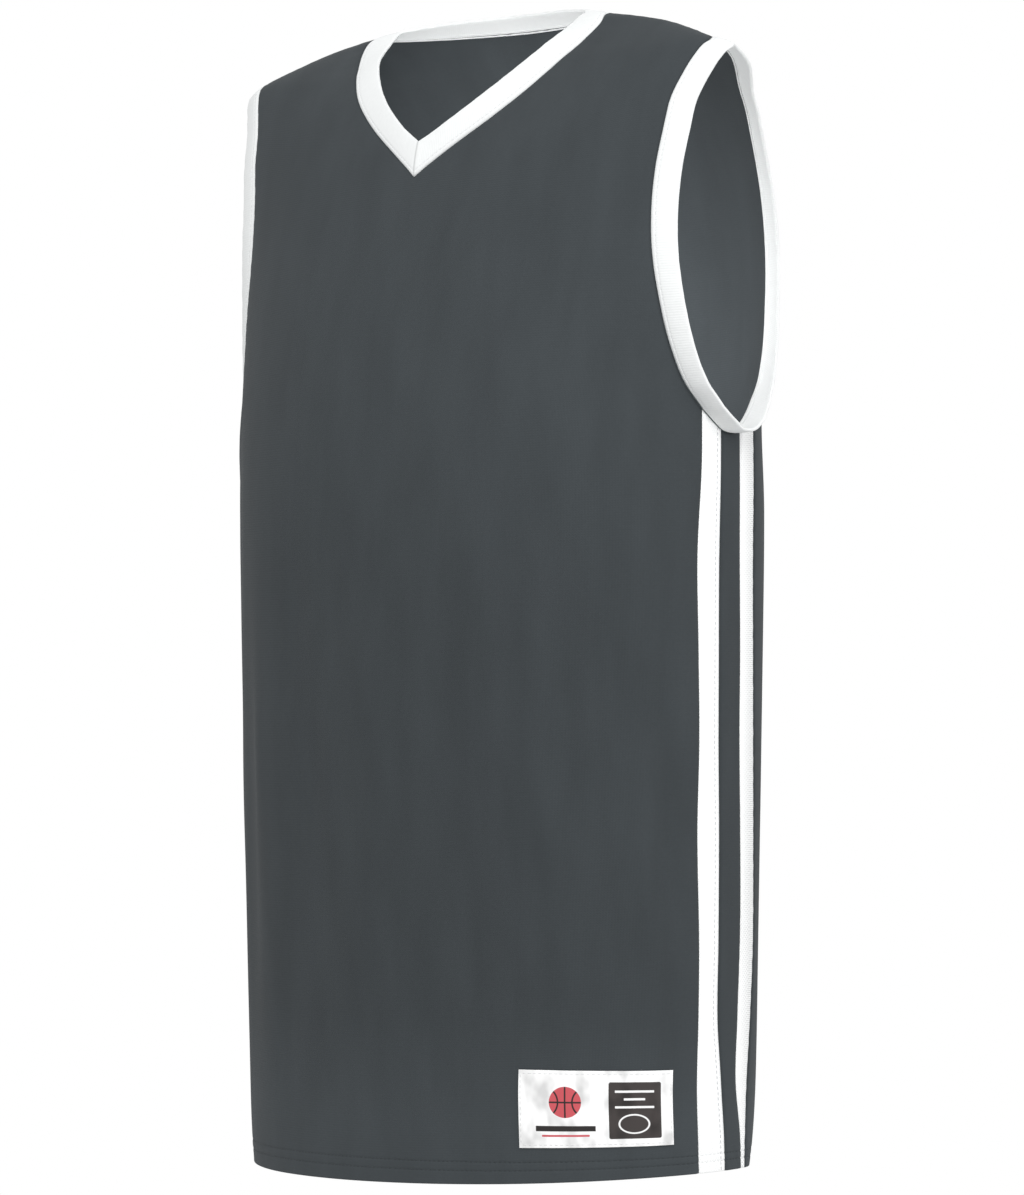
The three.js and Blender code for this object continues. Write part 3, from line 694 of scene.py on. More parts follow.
def neck_band_half(side, width):
    z = legs(*FRONT_LEGS[2:])
    cut = neck_front(z)
    seam = body_form(side * neck_seam_angle(z), z)
    edge = np.stack([side * cut["edge_x"], cut["edge_y"], cut["edge_z"]], -1)
    angle = np.linspace(SIDE_ANGLE, math.pi, NECK_BACK_STATIONS + 1)[1:]
    level = NECK_TOP_Z + back_neck_rise(angle, NECK_TOP_Z)
    back_seam = body_form(side * angle, level)
    lean = neck_back(np.degrees(angle))
    across = unit(np.stack([side * lean["sideways"], lean["forward"], lean["up"]], -1))
    return np.concatenate([seam, back_seam]), np.concatenate([edge, back_seam + across * width])


def neck_band_rings(width):
    """The neck band's seam and opening edge: from the V up the left side and round to the V."""
    left, right = neck_band_half(1, width), neck_band_half(-1, width)
    return [np.concatenate([a, b[1:-1][::-1]]) for a, b in zip(left, right)]


# ---- Stitches ----

# Along a stitch: share of its length, share of its thickness and lift off the cloth
THREAD_STATIONS = ((-0.5, 0.45, -0.25), (-0.22, 1.0, 0.1), (0.22, 1.0, 0.1), (0.5, 0.45, -0.25))
THREAD_SIDES = 5


def stitches(lines, length, gap, thickness):
    """Points and faces of short thread stitches laid end to end along lines with outward normals."""
    points, faces, start = [], [], 0
    turn = np.arange(THREAD_SIDES) * 2 * np.pi / THREAD_SIDES
    for line, normal in lines:
        along = walked(line, 0)
        middles = np.arange(length, along[-1] - length / 2, length + gap)
        shares, swells, lifts = np.array(THREAD_STATIONS).T
        at = (middles[:, None] + shares[None] * length).ravel()
        place = np.stack([np.interp(at, along, line[:, i]) for i in range(3)], -1)
        ahead = np.stack([np.interp(at + 0.3, along, line[:, i]) for i in range(3)], -1)
        up = unit(np.stack([np.interp(at, along, normal[:, i]) for i in range(3)], -1))
        sideways = unit(np.cross(unit(ahead - place), up))
        radius = np.tile(swells, len(middles))[:, None, None] * thickness / 2
        lift = np.tile(lifts, len(middles))[:, None] * thickness
        circle = np.cos(turn)[None, :, None] * sideways[:, None] + np.sin(turn)[None, :, None] * up[:, None]
        points.append(((place + up * lift)[:, None] + circle * radius).reshape(-1, 3))
        stations = len(THREAD_STATIONS)
        for stitch in range(len(middles)):
            base = start + stitch * stations * THREAD_SIDES
            for i in range(stations - 1):
                for j in range(THREAD_SIDES):
                    a = base + i * THREAD_SIDES + j
                    b = base + i * THREAD_SIDES + (j + 1) % THREAD_SIDES
                    faces.append([a, b, b + THREAD_SIDES, a + THREAD_SIDES])
            end = base + (stations - 1) * THREAD_SIDES
            faces.append([base + j for j in reversed(range(THREAD_SIDES))])
            faces.append([end + j for j in range(THREAD_SIDES)])
        start += len(middles) * stations * THREAD_SIDES
    return np.concatenate(points), faces


def thread_piece(name, lines, sizes, material):
    points, faces = stitches(
        lines,
        sizes.stitch_length * MM_PER_M,
        sizes.stitch_gap * MM_PER_M,
        sizes.thread_thickness * MM_PER_M,
    )
    mesh = bpy.data.meshes.new(name)
    mesh.from_pydata((points / MM_PER_M).tolist(), [], faces)
    mesh.polygons.foreach_set("use_smooth", np.ones(len(faces), bool))
    mesh.update()
    piece = bpy.data.objects.new(name, mesh)
    bpy.context.scene.collection.objects.link(piece)
    return place_piece(piece, material)


def row_line(grid, height):
    """The line of a grid's outer points at one height above the hem, with its normals."""
    row = int(np.argmin(np.abs(HEM_STEPS - height)))
    return grid["outer"][row], grid["normal"][row]


def beside_seam(grid, column, inset):
    """The line that runs up a grid a set distance in from its first or last column of points."""
    order = slice(None) if column == 0 else slice(None, None, -1)
    outer, normal = grid["outer"][:, order], grid["normal"][:, order]
    along = walked(outer, 1)

    def read(rows):
        return np.array([
            [np.interp(inset, reach, row[:, i]) for i in range(3)] for reach, row in zip(along, rows)
        ])

    return read(outer), read(normal)


# ---- The hem label ----

LABEL_STAND = 0.7
LABEL_STITCH_INSET = 1.8
LABEL_COLUMNS = 96
LABEL_ROWS = 52
LABEL_HEIGHT = LABEL_TOP_Z - LABEL_BOTTOM_Z
LABEL_EDGE_STEPS = np.array((0, 0.12, 0.3, 0.6))


def label_grid(sizes):
    """The label's grid on the front panel, moved out from it, with its place in mm from its corner."""
    width, thickness = sizes.label_width * MM_PER_M, sizes.label_thickness * MM_PER_M
    edge = LABEL_EDGE_STEPS
    rows = np.linspace(1.2, LABEL_HEIGHT - 1.2, LABEL_ROWS)
    rows = np.concatenate([edge, rows, LABEL_HEIGHT - edge[::-1]])
    columns = np.linspace(1.4, width - 1.4, LABEL_COLUMNS)
    columns = np.concatenate([edge, columns, width - edge[::-1]])
    z = LABEL_BOTTOM_Z + rows
    angle = front_edge_angle(z)[:, None] * (1 - np.linspace(0, 1, 241))
    along = walked(body_form(angle, z[:, None]), 1)
    from_seam = LABEL_FROM_SIDE_SEAM + width - columns
    angle = np.stack([np.interp(from_seam, reach, row) for reach, row in zip(along, angle)])
    level = np.broadcast_to(z[:, None], angle.shape)
    form, normal = body_form(angle, level), body_normal(angle, level)
    x, y = np.broadcast_to(columns, angle.shape), np.broadcast_to(rows[:, None], angle.shape)
    border = np.minimum(np.minimum(x, width - x), np.minimum(y, LABEL_HEIGHT - y))
    ripple = 0.21 * np.sin(x / 4.6 + 0.8 * np.sin(y / 9) + 0.6) + 0.15 * np.sin(x / 2.9 + y / 13)
    ripple = ripple * np.clip(border / 6, 0.25, 1)
    round_over = thickness / 2
    short = np.maximum(round_over - border, 0) * 0.97
    inset = round_over - np.sqrt(round_over**2 - short**2)
    stand = LABEL_STAND + ripple - 0.15 * np.exp(-border / 2.5)
    stitched = 0.12 * np.exp(-(((border - 1.8) / 0.4) ** 2))
    return {
        "form": form,
        "normal": normal,
        "z": level,
        "uv": np.stack([x, y], -1),
        "outer": form + normal * (stand + thickness - inset - stitched)[..., None],
        "inner": form + normal * (stand + inset)[..., None],
        "seam": border,
    }


def label_border_lines(grid, inset):
    """The four lines of stitches round the label."""
    outer, normal = grid["outer"], grid["normal"]
    row = int(np.argmin(np.abs(grid["uv"][:, 0, 1] - inset)))
    column = int(np.argmin(np.abs(grid["uv"][0, :, 0] - inset)))
    lines = []
    for r in (row, outer.shape[0] - 1 - row):
        lines.append((outer[r, column:-column], normal[r, column:-column]))
    for c in (column, outer.shape[1] - 1 - column):
        lines.append((outer[row:-row, c], normal[row:-row, c]))
    return lines


# ---- Materials ----


def linear(code):
    """An sRGB hex colour as linear values."""
    parts = [int(code[i : i + 2], 16) / 255 for i in (0, 2, 4)]
    return tuple(p / 12.92 if p <= 0.04045 else ((p + 0.055) / 1.055) ** 2.4 for p in parts)


def toned(colour, share):
    return tuple(part * share for part in colour)


def add_node(tree, kind, feeds=None, **settings):
    """Adds one node with its settings, and links or sets what goes into it."""
    node = tree.nodes.new(kind)
    for name, value in settings.items():
        setattr(node, name, value)
    for place, value in (feeds or {}).items():
        if isinstance(value, bpy.types.NodeSocket):
            tree.links.new(value, node.inputs[place])
        else:
            node.inputs[place].default_value = value
    return node


def number(tree, operation, *values):
    """The outcome of one sum on numbers."""
    return add_node(tree, "ShaderNodeMath", dict(enumerate(values)), operation=operation).outputs[0]


def vector(tree, operation, *values):
    """The outcome of one sum on vectors; a length is its second output."""
    made = add_node(tree, "ShaderNodeVectorMath", dict(enumerate(values)), operation=operation)
    return made.outputs[1 if operation == "LENGTH" else 0]


def cloth_place(tree):
    """The place on the flat cloth in millimetres."""
    flat = add_node(tree, "ShaderNodeUVMap", uv_map=CLOTH_UV).outputs[0]
    return vector(tree, "MULTIPLY", flat, (MM_PER_M,) * 3)


def garment_place(tree):
    """The place on the worn jersey in metres, as three numbers."""
    place = add_node(tree, "ShaderNodeTexCoord").outputs["Object"]
    return add_node(tree, "ShaderNodeSeparateXYZ", {0: place})


def mottle(tree, place, across_mm, along_mm, detail):
    """A soft uneven pattern with patches of about this size."""
    scaled = vector(tree, "MULTIPLY", place, (1 / across_mm, 1 / along_mm, 1))
    feeds = {"Vector": scaled, "Scale": 1.0, "Detail": detail}
    return add_node(tree, "ShaderNodeTexNoise", feeds).outputs[0]


def fade(tree, value, start, end, first, last):
    """A value read between start and end, as a share between first and last."""
    return add_node(tree, "ShaderNodeMapRange", {0: value, 1: start, 2: end, 3: first, 4: last}).outputs[0]


def blended(tree, factor, low, high):
    """A colour between two, by a factor."""
    ends = [end if isinstance(end, bpy.types.NodeSocket) else (*end, 1) for end in (low, high)]
    mix = add_node(tree, "ShaderNodeMix", {0: factor, 6: ends[0], 7: ends[1]}, data_type="RGBA")
    return mix.outputs[2]


def new_cloth(name, roughness, sheen, gloss):
    """A material with a cloth's plain surface, ready for its colour and its bump."""
    material = bpy.data.materials.new(name)
    material.use_nodes = True
    tree = material.node_tree
    tree.nodes.clear()
    feeds = {
        "Roughness": roughness,
        "Sheen Weight": sheen,
        "Sheen Roughness": 0.5,
        "IOR": 1.46,
        "Specular IOR Level": gloss,
    }
    surface = add_node(tree, "ShaderNodeBsdfPrincipled", feeds)
    add_node(tree, "ShaderNodeOutputMaterial", {0: surface.outputs[0]})
    return material, tree, surface


def coat(tree, surface, colour, height, strength, distance_mm):
    """Gives a surface its colour and the bump of its weave."""
    tree.links.new(colour, surface.inputs["Base Color"])
    feeds = {"Strength": strength, "Distance": distance_mm / MM_PER_M, "Height": height}
    tree.links.new(add_node(tree, "ShaderNodeBump", feeds).outputs[0], surface.inputs["Normal"])


def knit_loops(tree, place, wale, course):
    """The height of plain knit: columns of V-shaped loops, a wale wide and a course high, in mm."""
    parts = add_node(tree, "ShaderNodeSeparateXYZ", {0: place})
    arm = number(tree, "DIVIDE", number(tree, "PINGPONG", parts.outputs[0], wale / 2), wale / 2)
    ridge = number(tree, "SINE", number(tree, "MULTIPLY", arm, math.pi))
    phase = number(tree, "MULTIPLY_ADD", arm, 0.5, number(tree, "DIVIDE", parts.outputs[1], course))
    loop = number(tree, "SINE", number(tree, "MULTIPLY", phase, 2 * math.pi))
    return number(tree, "MULTIPLY", ridge, number(tree, "MULTIPLY_ADD", loop, 0.35, 0.65))


# Where painted light makes the cloth paler, by height in metres, and painted shade makes it darker, by its
# distance from a seam in mm
PAINTED_LIGHT_CHEST_Z = (-0.38, -0.27)
PAINTED_LIGHT_HEM_Z = (-0.73, -0.66)
SEAM_SHADE = (0.3, 2.4)


def charcoal_knit(colours):
    """Polyester double knit, piece dyed: matt, dark, a little mottled along its length, with painted light
    on the chest and the hem and painted shade beside the seams.
    """
    material, tree, surface = new_cloth("charcoal_polyester_knit", 0.86, 0.04, 0.25)
    place = cloth_place(tree)
    # The real loops are about 0.7 mm wide; they are drawn at 1.9 mm so that they show.
    loops = knit_loops(tree, place, 1.9, 1.6)
    streaks, grain = mottle(tree, place, 26, 95, 3.0), mottle(tree, place, 2.2, 2.2, 2.0)
    tone = number(tree, "MULTIPLY_ADD", grain, 0.2, number(tree, "MULTIPLY", streaks, 0.5))
    tone = number(tree, "MULTIPLY_ADD", loops, 0.1, tone)
    # Painted light makes the chest and the hem a little paler than the middle, and painted shade makes the
    # cloth beside a seam darker.
    z = garment_place(tree).outputs[2]
    tone = number(tree, "ADD", tone, fade(tree, z, *PAINTED_LIGHT_CHEST_Z, -0.06, 0.06))
    tone = number(tree, "ADD", tone, fade(tree, z, *PAINTED_LIGHT_HEM_Z, 0.26, 0.0))
    seam = add_node(tree, "ShaderNodeAttribute", attribute_name=SEAM_ATTRIBUTE).outputs["Fac"]
    tone = number(tree, "SUBTRACT", tone, fade(tree, seam, *SEAM_SHADE, 0.3, 0.0))
    colour = blended(tree, tone, toned(colours.charcoal, 0.7), toned(colours.charcoal, 1.4))
    coat(tree, surface, colour, number(tree, "MULTIPLY_ADD", grain, 0.4, loops), 0.35, 0.18)
    return material


def eyelets(tree, place, pitch_x, pitch_y, radius):
    """1 inside the small holes of a micro-mesh and 0 between them, holes set in a brick pattern."""
    nearest = None
    for shift in (0.0, 0.5):
        cell = vector(tree, "MULTIPLY", place, (1 / pitch_x, 1 / pitch_y, 0))
        cell = vector(tree, "FRACTION", vector(tree, "ADD", cell, (shift, shift, 0)))
        cell = vector(tree, "SUBTRACT", cell, (0.5, 0.5, 0))
        away = vector(tree, "LENGTH", vector(tree, "MULTIPLY", cell, (pitch_x, pitch_y, 0)))
        nearest = away if nearest is None else number(tree, "MINIMUM", nearest, away)
    return fade(tree, nearest, radius * 0.7, radius * 1.3, 1.0, 0.0)


# How far back the painted shade in the eyelets begins to show, in metres
EYELET_SHADE_Y = (0.024, 0.036)


def white_micro_mesh(colours):
    """White polyester micro-mesh: bright, matt, pierced by small eyelets with painted shade in them that
    shows grey, most towards the back.
    """
    material, tree, surface = new_cloth("white_micro_mesh_knit", 0.8, 0.06, 0.25)
    place = cloth_place(tree)
    holes = eyelets(tree, place, 2.2, 2.6, 0.5)
    loops = knit_loops(tree, place, 1.2, 1.4)
    # Painted shade: the eyelets are painted dark where the cloth turns to the back and its inside lies in
    # shade.
    eyelet_shade_share = fade(tree, garment_place(tree).outputs[1], *EYELET_SHADE_Y, 0.15, 1.0)
    shade = number(tree, "MULTIPLY", holes, eyelet_shade_share)
    colour = blended(tree, shade, tuple(colours.white_mesh), toned(colours.white_mesh, 0.45))
    coat(tree, surface, colour, number(tree, "MULTIPLY_ADD", holes, -1.4, loops), 0.35, 0.2)
    return material


# The neck band's mitre, in metres: how far its crease reaches aside and how high up it ends
MITRE_ASIDE = (0.0003, 0.0009)
MITRE_TOP_Z = (-0.076, -0.074)


def white_rib(colours):
    """White rib knit, doubled: matt, with fine ribs across the band."""
    material, tree, surface = new_cloth("white_rib_knit", 0.8, 0.06, 0.25)
    place = cloth_place(tree)
    parts = add_node(tree, "ShaderNodeSeparateXYZ", {0: place})
    ribs = number(tree, "SINE", number(tree, "MULTIPLY", parts.outputs[0], 2 * math.pi / 1.7))
    grain = mottle(tree, place, 3, 3, 2.0)
    tone = number(tree, "MULTIPLY_ADD", ribs, 0.2, number(tree, "MULTIPLY", grain, 0.9))
    colour = blended(tree, tone, toned(colours.white_rib, 0.93), tuple(colours.white_rib))
    # The mitre: the sewn crease where the neck band's ends meet at the V, darkened with painted shade in
    # the crease
    parts = garment_place(tree)
    aside = number(tree, "ABSOLUTE", parts.outputs[0])
    mitre = number(
        tree,
        "MULTIPLY",
        fade(tree, aside, *MITRE_ASIDE, 1.0, 0.0),
        fade(tree, parts.outputs[2], *MITRE_TOP_Z, 1.0, 0.0),
    )
    colour = blended(tree, mitre, colour, toned(colours.white_rib, 0.7))
    height = number(tree, "MULTIPLY_ADD", grain, 0.5, ribs)
    height = number(tree, "MULTIPLY_ADD", mitre, -3.0, height)
    coat(tree, surface, colour, height, 0.25, 0.12)
    return material


PRINT_EDGE = 0.12


def box_mask(tree, place, centre, half, corner):
    """1 inside a round-cornered box on the label and 0 outside it."""
    away = vector(tree, "ABSOLUTE", vector(tree, "SUBTRACT", place, (*centre, 0)))
    past = vector(tree, "SUBTRACT", away, (half[0] - corner, half[1] - corner, 1))
    length = vector(tree, "LENGTH", vector(tree, "MAXIMUM", past, (0, 0, 0)))
    return fade(tree, length, corner - PRINT_EDGE, corner + PRINT_EDGE, 1.0, 0.0)


def oval_mask(tree, place, centre, radii):
    """1 inside an oval on the label and 0 outside it."""
    away = vector(tree, "SUBTRACT", place, (*centre, 0))
    length = vector(tree, "LENGTH", vector(tree, "MULTIPLY", away, (1 / radii[0], 1 / radii[1], 0)))
    soft = PRINT_EDGE / min(radii)
    return fade(tree, length, 1 - soft, 1 + soft, 1.0, 0.0)


# The label's plain print, in mm from its lower corner by the centre front
BLOCK = {"centre": (75.8, 25.6), "half": (16.8, 19.6), "corner": 1.4}
OVAL_RING = {"centre": (75.2, 16.6), "outer": (10.1, 7.1), "inner": (9.0, 6.0)}
BLOCK_BARS = (((75.6, 39.0), (12.5, 0.75)), ((75.6, 33.8), (6.8, 0.75)), ((75.6, 28.4), (12.5, 0.75)))
BALL = {"centre": (31.0, 31.5), "radius": 10.5, "line": 0.55, "arc_out": 1.45}
DARK_BAR = {"centre": (31.0, 13.6), "half": (19.5, 1.9), "corner": 0.4}
RED_BAR = {"centre": (31.0, 8.6), "half": (15.5, 0.7), "corner": 0.4}


def ball_seams(tree, place):
    """The seam lines of a plain ball: two that cross and an arc on each side."""
    centre, radius, line = BALL["centre"], BALL["radius"], BALL["line"]
    seams = [
        box_mask(tree, place, centre, (radius, line), 0.2),
        box_mask(tree, place, centre, (line, radius), 0.2),
    ]
    for turn in (-1, 1):
        arc_at = (centre[0] + turn * radius * BALL["arc_out"], centre[1])
        wide = oval_mask(tree, place, arc_at, (radius + line, radius + line))
        slim = oval_mask(tree, place, arc_at, (radius - line, radius - line))
        seams.append(number(tree, "SUBTRACT", wide, slim))
    return seams


def label_satin(colours):
    """White woven satin: smooth, with a soft gloss, painted cloudy silver-grey reflections, and a plain
    print.
    """
    material, tree, surface = new_cloth("white_label_satin", 0.38, 0.0, 0.5)
    place = cloth_place(tree)
    # Painted reflection: cloudy grey patches on the satin and on its dark block, where the gloss would
    # mirror its surroundings.
    painted_reflection = fade(tree, mottle(tree, place, 15, 24, 2.0), 0.34, 0.54, 0.0, 1.0)
    satin, dark, red = tuple(colours.satin), tuple(colours.print_dark), tuple(colours.print_red)
    colour = blended(tree, painted_reflection, toned(satin, 0.66), satin)
    block = box_mask(tree, place, BLOCK["centre"], BLOCK["half"], BLOCK["corner"])
    colour = blended(tree, block, colour, blended(tree, painted_reflection, dark, toned(dark, 2.6)))
    ring_out = oval_mask(tree, place, OVAL_RING["centre"], OVAL_RING["outer"])
    ring_in = oval_mask(tree, place, OVAL_RING["centre"], OVAL_RING["inner"])
    light = [number(tree, "SUBTRACT", ring_out, ring_in)]
    light += [box_mask(tree, place, at, half, 0.3) for at, half in BLOCK_BARS]
    for mask in light:
        colour = blended(tree, mask, colour, toned(satin, 0.9))
    for bar, ink in ((DARK_BAR, dark), (RED_BAR, red)):
        mask = box_mask(tree, place, bar["centre"], bar["half"], bar["corner"])
        colour = blended(tree, mask, colour, ink)
    ball = oval_mask(tree, place, BALL["centre"], (BALL["radius"], BALL["radius"]))
    colour = blended(tree, ball, colour, red)
    for seam in ball_seams(tree, place):
        colour = blended(tree, number(tree, "MULTIPLY", seam, ball), colour, dark)
    coat(tree, surface, colour, mottle(tree, place, 0.9, 5, 1.0), 0.15, 0.08)
    return material


def sewing_thread(name, colour):
    """Spun polyester thread: twisted, with light and dark along its plies."""
    material, tree, surface = new_cloth(name, 0.7, 0.1, 0.3)
    place = add_node(tree, "ShaderNodeTexCoord").outputs["Object"]
    twist = mottle(tree, vector(tree, "MULTIPLY", place, (MM_PER_M,) * 3), 0.7, 0.7, 1.0)
    coat(tree, surface, blended(tree, twist, toned(colour, 0.8), tuple(colour)), twist, 0.3, 0.1)
    return material


def material_once(name, maker, *values):
    """The material of that name, made the first time it is asked for."""
    return bpy.data.materials.get(name) or maker(*values)


# ---- Sizes and colours that a user would change ----


def length_property(name, description, size):
    return FloatProperty(name=name, description=description, default=size, unit="LENGTH")


class JerseySizes(bpy.types.PropertyGroup):
    """Sizes of the cloth, bands, stitches and label"""

    cloth_wall: length_property("Cloth thickness", "Thickness of the knit, once", 0.0012)
    seam_depth: length_property("Seam depth", "How far a sewn seam dips", 0.001)
    hem_depth: length_property("Hem depth", "How far the hem is turned up", 0.020)
    neck_band_width: length_property("Neck band width", "Width of the folded neck band", 0.019)
    arm_band_width: length_property("Arm band width", "Width of the folded arm bands", 0.0172)
    band_thickness: length_property("Band thickness", "Thickness of the doubled rib", 0.0022)
    stitch_length: length_property("Stitch length", "Length of one stitch", 0.0026)
    stitch_gap: length_property("Stitch gap", "Gap between stitches", 0.0009)
    thread_thickness: length_property("Thread thickness", "Thickness of the thread", 0.00045)
    topstitch_inset: length_property("Topstitch inset", "Topstitch to seam on a white strip", 0.005)
    label_width: length_property("Label width", "Width of the hem label", 0.101)
    label_thickness: length_property("Label thickness", "Thickness of the satin", 0.0006)


def colour_property(name, description, code):
    return FloatVectorProperty(
        name=name, description=description, subtype="COLOR", size=3, min=0, max=1, default=linear(code)
    )


class JerseyColours(bpy.types.PropertyGroup):
    """Colours of the cloths, threads and print"""

    charcoal: colour_property("Charcoal", "Body knit", "3B4043")
    white_mesh: colour_property("White mesh", "White side strips", "FCFDFD")
    white_rib: colour_property("White rib", "Neck and arm bands", "EDEFEF")
    satin: colour_property("Satin", "Hem label", "FDFDFD")
    print_dark: colour_property("Dark print", "Dark print on the label", "231F1E")
    print_red: colour_property("Red print", "Red print on the label", "C8525A")
    dark_thread: colour_property("Dark thread", "Hem stitches", "33383B")
    grey_thread: colour_property("Grey thread", "Topstitches on the white strips", "B4B6BA")
    white_thread: colour_property("White thread", "Stitches on the bands and label", "E4E5E6")
    floor: colour_property("Floor", "Studio floor", "E9EAEB")


SIDES = (("left", 1), ("right", -1))
STRIPS = (("front_strip", "white_mesh"), ("middle_strip", "charcoal_knit"), ("rear_strip", "white_mesh"))
CLOTHS = {
    "charcoal_knit": ("charcoal_polyester_knit", charcoal_knit),
    "white_mesh": ("white_micro_mesh_knit", white_micro_mesh),
    "white_rib": ("white_rib_knit", white_rib),
    "label_satin": ("white_label_satin", label_satin),
}
made_grids = {}
band_lines = {}


def cloth_of(slot, colours):
    name, maker = CLOTHS[slot]
    return material_once(name, maker, colours)


def make_cloth_piece(context, name, grids, slot):
    sizes, colours = context.scene.jersey_sizes, context.scene.jersey_colours
    grids = [finish_grid(grid, sizes) for grid in grids]
    made_grids[name] = grids
    piece = place_piece(sew(name, grids), cloth_of(slot, colours), name)
    piece.name = f"{name}_cloth"
    declare_cloth(grids)


class JERSEY_OT_body_panels(bpy.types.Operator):
    """Make the front and back panels with their turned hem and their folds"""

    bl_idname = "jersey.body_panels"
    bl_label = "Body panels"

    def execute(self, context):
        make_cloth_piece(context, "front_panel", front_grids(), "charcoal_knit")
        make_cloth_piece(context, "back_panel", back_grids(), "charcoal_knit")
        return {"FINISHED"}


class JERSEY_OT_side_strips(bpy.types.Operator):
    """Make the three strips down each side"""

    bl_idname = "jersey.side_strips"
    bl_label = "Side strips"

    def execute(self, context):
        for word, side in SIDES:
            for place, (strip, slot) in enumerate(STRIPS):
                name = f"{word}_{strip}"
                grids = [strip_grid(side, place)]
                make_cloth_piece(context, name, grids, slot)
        return {"FINISHED"}


def make_band(context, name, seam, edge, turn):
    sizes, colours = context.scene.jersey_sizes, context.scene.jersey_colours
    piece, girth, width, line, normal = sew_band(name, seam, edge, turn, sizes)
    place_piece(piece, cloth_of("white_rib", colours), name)
    piece.name = f"{name}_rib"
    closed_normal = np.concatenate([normal, normal[:1]])
    band_lines[name] = (line, closed_normal)


class JERSEY_OT_neck_band(bpy.types.Operator):
    """Make the neck band, mitred at the V"""

    bl_idname = "jersey.neck_band"
    bl_label = "Neck band"

    def execute(self, context):
        width = context.scene.jersey_sizes.neck_band_width * MM_PER_M
        seam, edge = neck_band_rings(width)
        make_band(context, "neck_band", seam, edge, 1)
        return {"FINISHED"}


class JERSEY_OT_arm_bands(bpy.types.Operator):
    """Make the band round each armhole"""

    bl_idname = "jersey.arm_bands"
    bl_label = "Arm bands"

    def execute(self, context):
        width = context.scene.jersey_sizes.arm_band_width * MM_PER_M
        for word, side in SIDES:
            seam, edge = arm_band_rings(side, width)
            make_band(context, f"{word}_arm_band", seam, edge, side)
        return {"FINISHED"}


class JERSEY_OT_hem_label(bpy.types.Operator):
    """Make the satin label with its plain print"""

    bl_idname = "jersey.hem_label"
    bl_label = "Hem label"

    def execute(self, context):
        sizes, colours = context.scene.jersey_sizes, context.scene.jersey_colours
        grid = label_grid(sizes)
        made_grids["hem_label"] = [grid]
        piece = place_piece(
            sew("hem_label", [grid]), cloth_of("label_satin", colours), "hem_label"
        )
        piece.name = "hem_label_satin"
        return {"FINISHED"}


class JERSEY_OT_stitching(bpy.types.Operator):
    """Sew the hem's two needle rows, the topstitches and the label's border"""

    bl_idname = "jersey.stitching"
    bl_label = "Stitching"

    def execute(self, context):
        if not made_grids or not band_lines:
            raise RuntimeError("Make the panels, strips, bands and label before their stitches")
        sizes, colours = context.scene.jersey_sizes, context.scene.jersey_colours
        dark = material_once("dark_thread", sewing_thread, "dark_thread", colours.dark_thread)
        grey = material_once("grey_thread", sewing_thread, "grey_thread", colours.grey_thread)
        white = material_once("white_thread", sewing_thread, "white_thread", colours.white_thread)
        hems = {"charcoal_knit": [], "white_mesh": []}
        for name, grids in made_grids.items():
            if name != "hem_label":
                white_strip = name.endswith(("front_strip", "rear_strip"))
                lines = [row_line(grid, row) for row in NEEDLE_ROWS for grid in grids]
                hems["white_mesh" if white_strip else "charcoal_knit"] += lines
        thread_piece("hem_stitches", hems["charcoal_knit"], sizes, dark)
        thread_piece("strip_hem_stitches", hems["white_mesh"], sizes, white)
        inset = sizes.topstitch_inset * MM_PER_M
        for word, _ in SIDES:
            line = beside_seam(made_grids[f"{word}_front_strip"][0], -1, inset)
            thread_piece(f"{word}_strip_topstitches", [line], sizes, grey)
        for name, line in band_lines.items():
            thread_piece(f"{name}_topstitches", [line], sizes, white)
        border = label_border_lines(made_grids["hem_label"][0], LABEL_STITCH_INSET)
        thread_piece("label_stitches", border, sizes, white)
        return {"FINISHED"}


# ---- Stage ----

# The photo's view: the camera's place in degrees and mm, and the pixels of its straight-ahead point
VIEW_AZIMUTH = 38.0
VIEW_DISTANCE = 3088.7
VIEW_HEIGHT = -447.9
FOCAL_PIXELS = 4587.3
AHEAD_X, AHEAD_Y = 487.5, 690.5
PHOTO_WIDTH, PHOTO_HEIGHT = 1024, 1195
SENSOR_MM = 36.0
FLOOR_Z = -0.95
FLOOR_SIZE = 40.0
# How far from the jersey the floor's paint begins and ends to run out into the backdrop
FLOOR_FADE = (0.35, 1.25)
SKY_STRENGTH = 0.72
# Soft boxes: name, azimuth, elevation, distance, size and power
SOFT_LIGHTS = (
    ("key_light", 36, 34, 3.2, 2.6, 60),
    ("fill_light", 100, 5, 3.0, 2.4, 18),
    ("back_light", 215, 25, 3.0, 2.4, 16),
)
LIGHTS_MIDDLE = (0, 0, -0.4)
# A small light inside the hollow, which brightens the cloth seen through the neck and armholes
INNER_LIGHT = ("inner_light", 0, -20, 0.05, 0.12, 0.66)
INNER_LIGHT_AIM = (0, 0, -0.22)


def add_camera():
    turn = math.radians(VIEW_AZIMUTH)
    away = Vector((math.sin(turn), -math.cos(turn), 0))
    right = Vector((math.cos(turn), math.sin(turn), 0))
    data = bpy.data.cameras.new("camera")
    data.sensor_width = SENSOR_MM
    data.lens = FOCAL_PIXELS * SENSOR_MM / PHOTO_HEIGHT
    data.clip_end = 100
    camera = bpy.data.objects.new("camera", data)
    bpy.context.scene.collection.objects.link(camera)
    camera.location = (away * VIEW_DISTANCE + Vector((0, 0, VIEW_HEIGHT))) / MM_PER_M
    sideways = (PHOTO_WIDTH / 2 - AHEAD_X) / FOCAL_PIXELS
    upward = (AHEAD_Y - PHOTO_HEIGHT / 2) / FOCAL_PIXELS
    aim = -away + right * sideways + Vector((0, 0, upward))
    camera.rotation_mode = "QUATERNION"
    camera.rotation_quaternion = aim.to_track_quat("-Z", "Y")
    bpy.context.scene.camera = camera


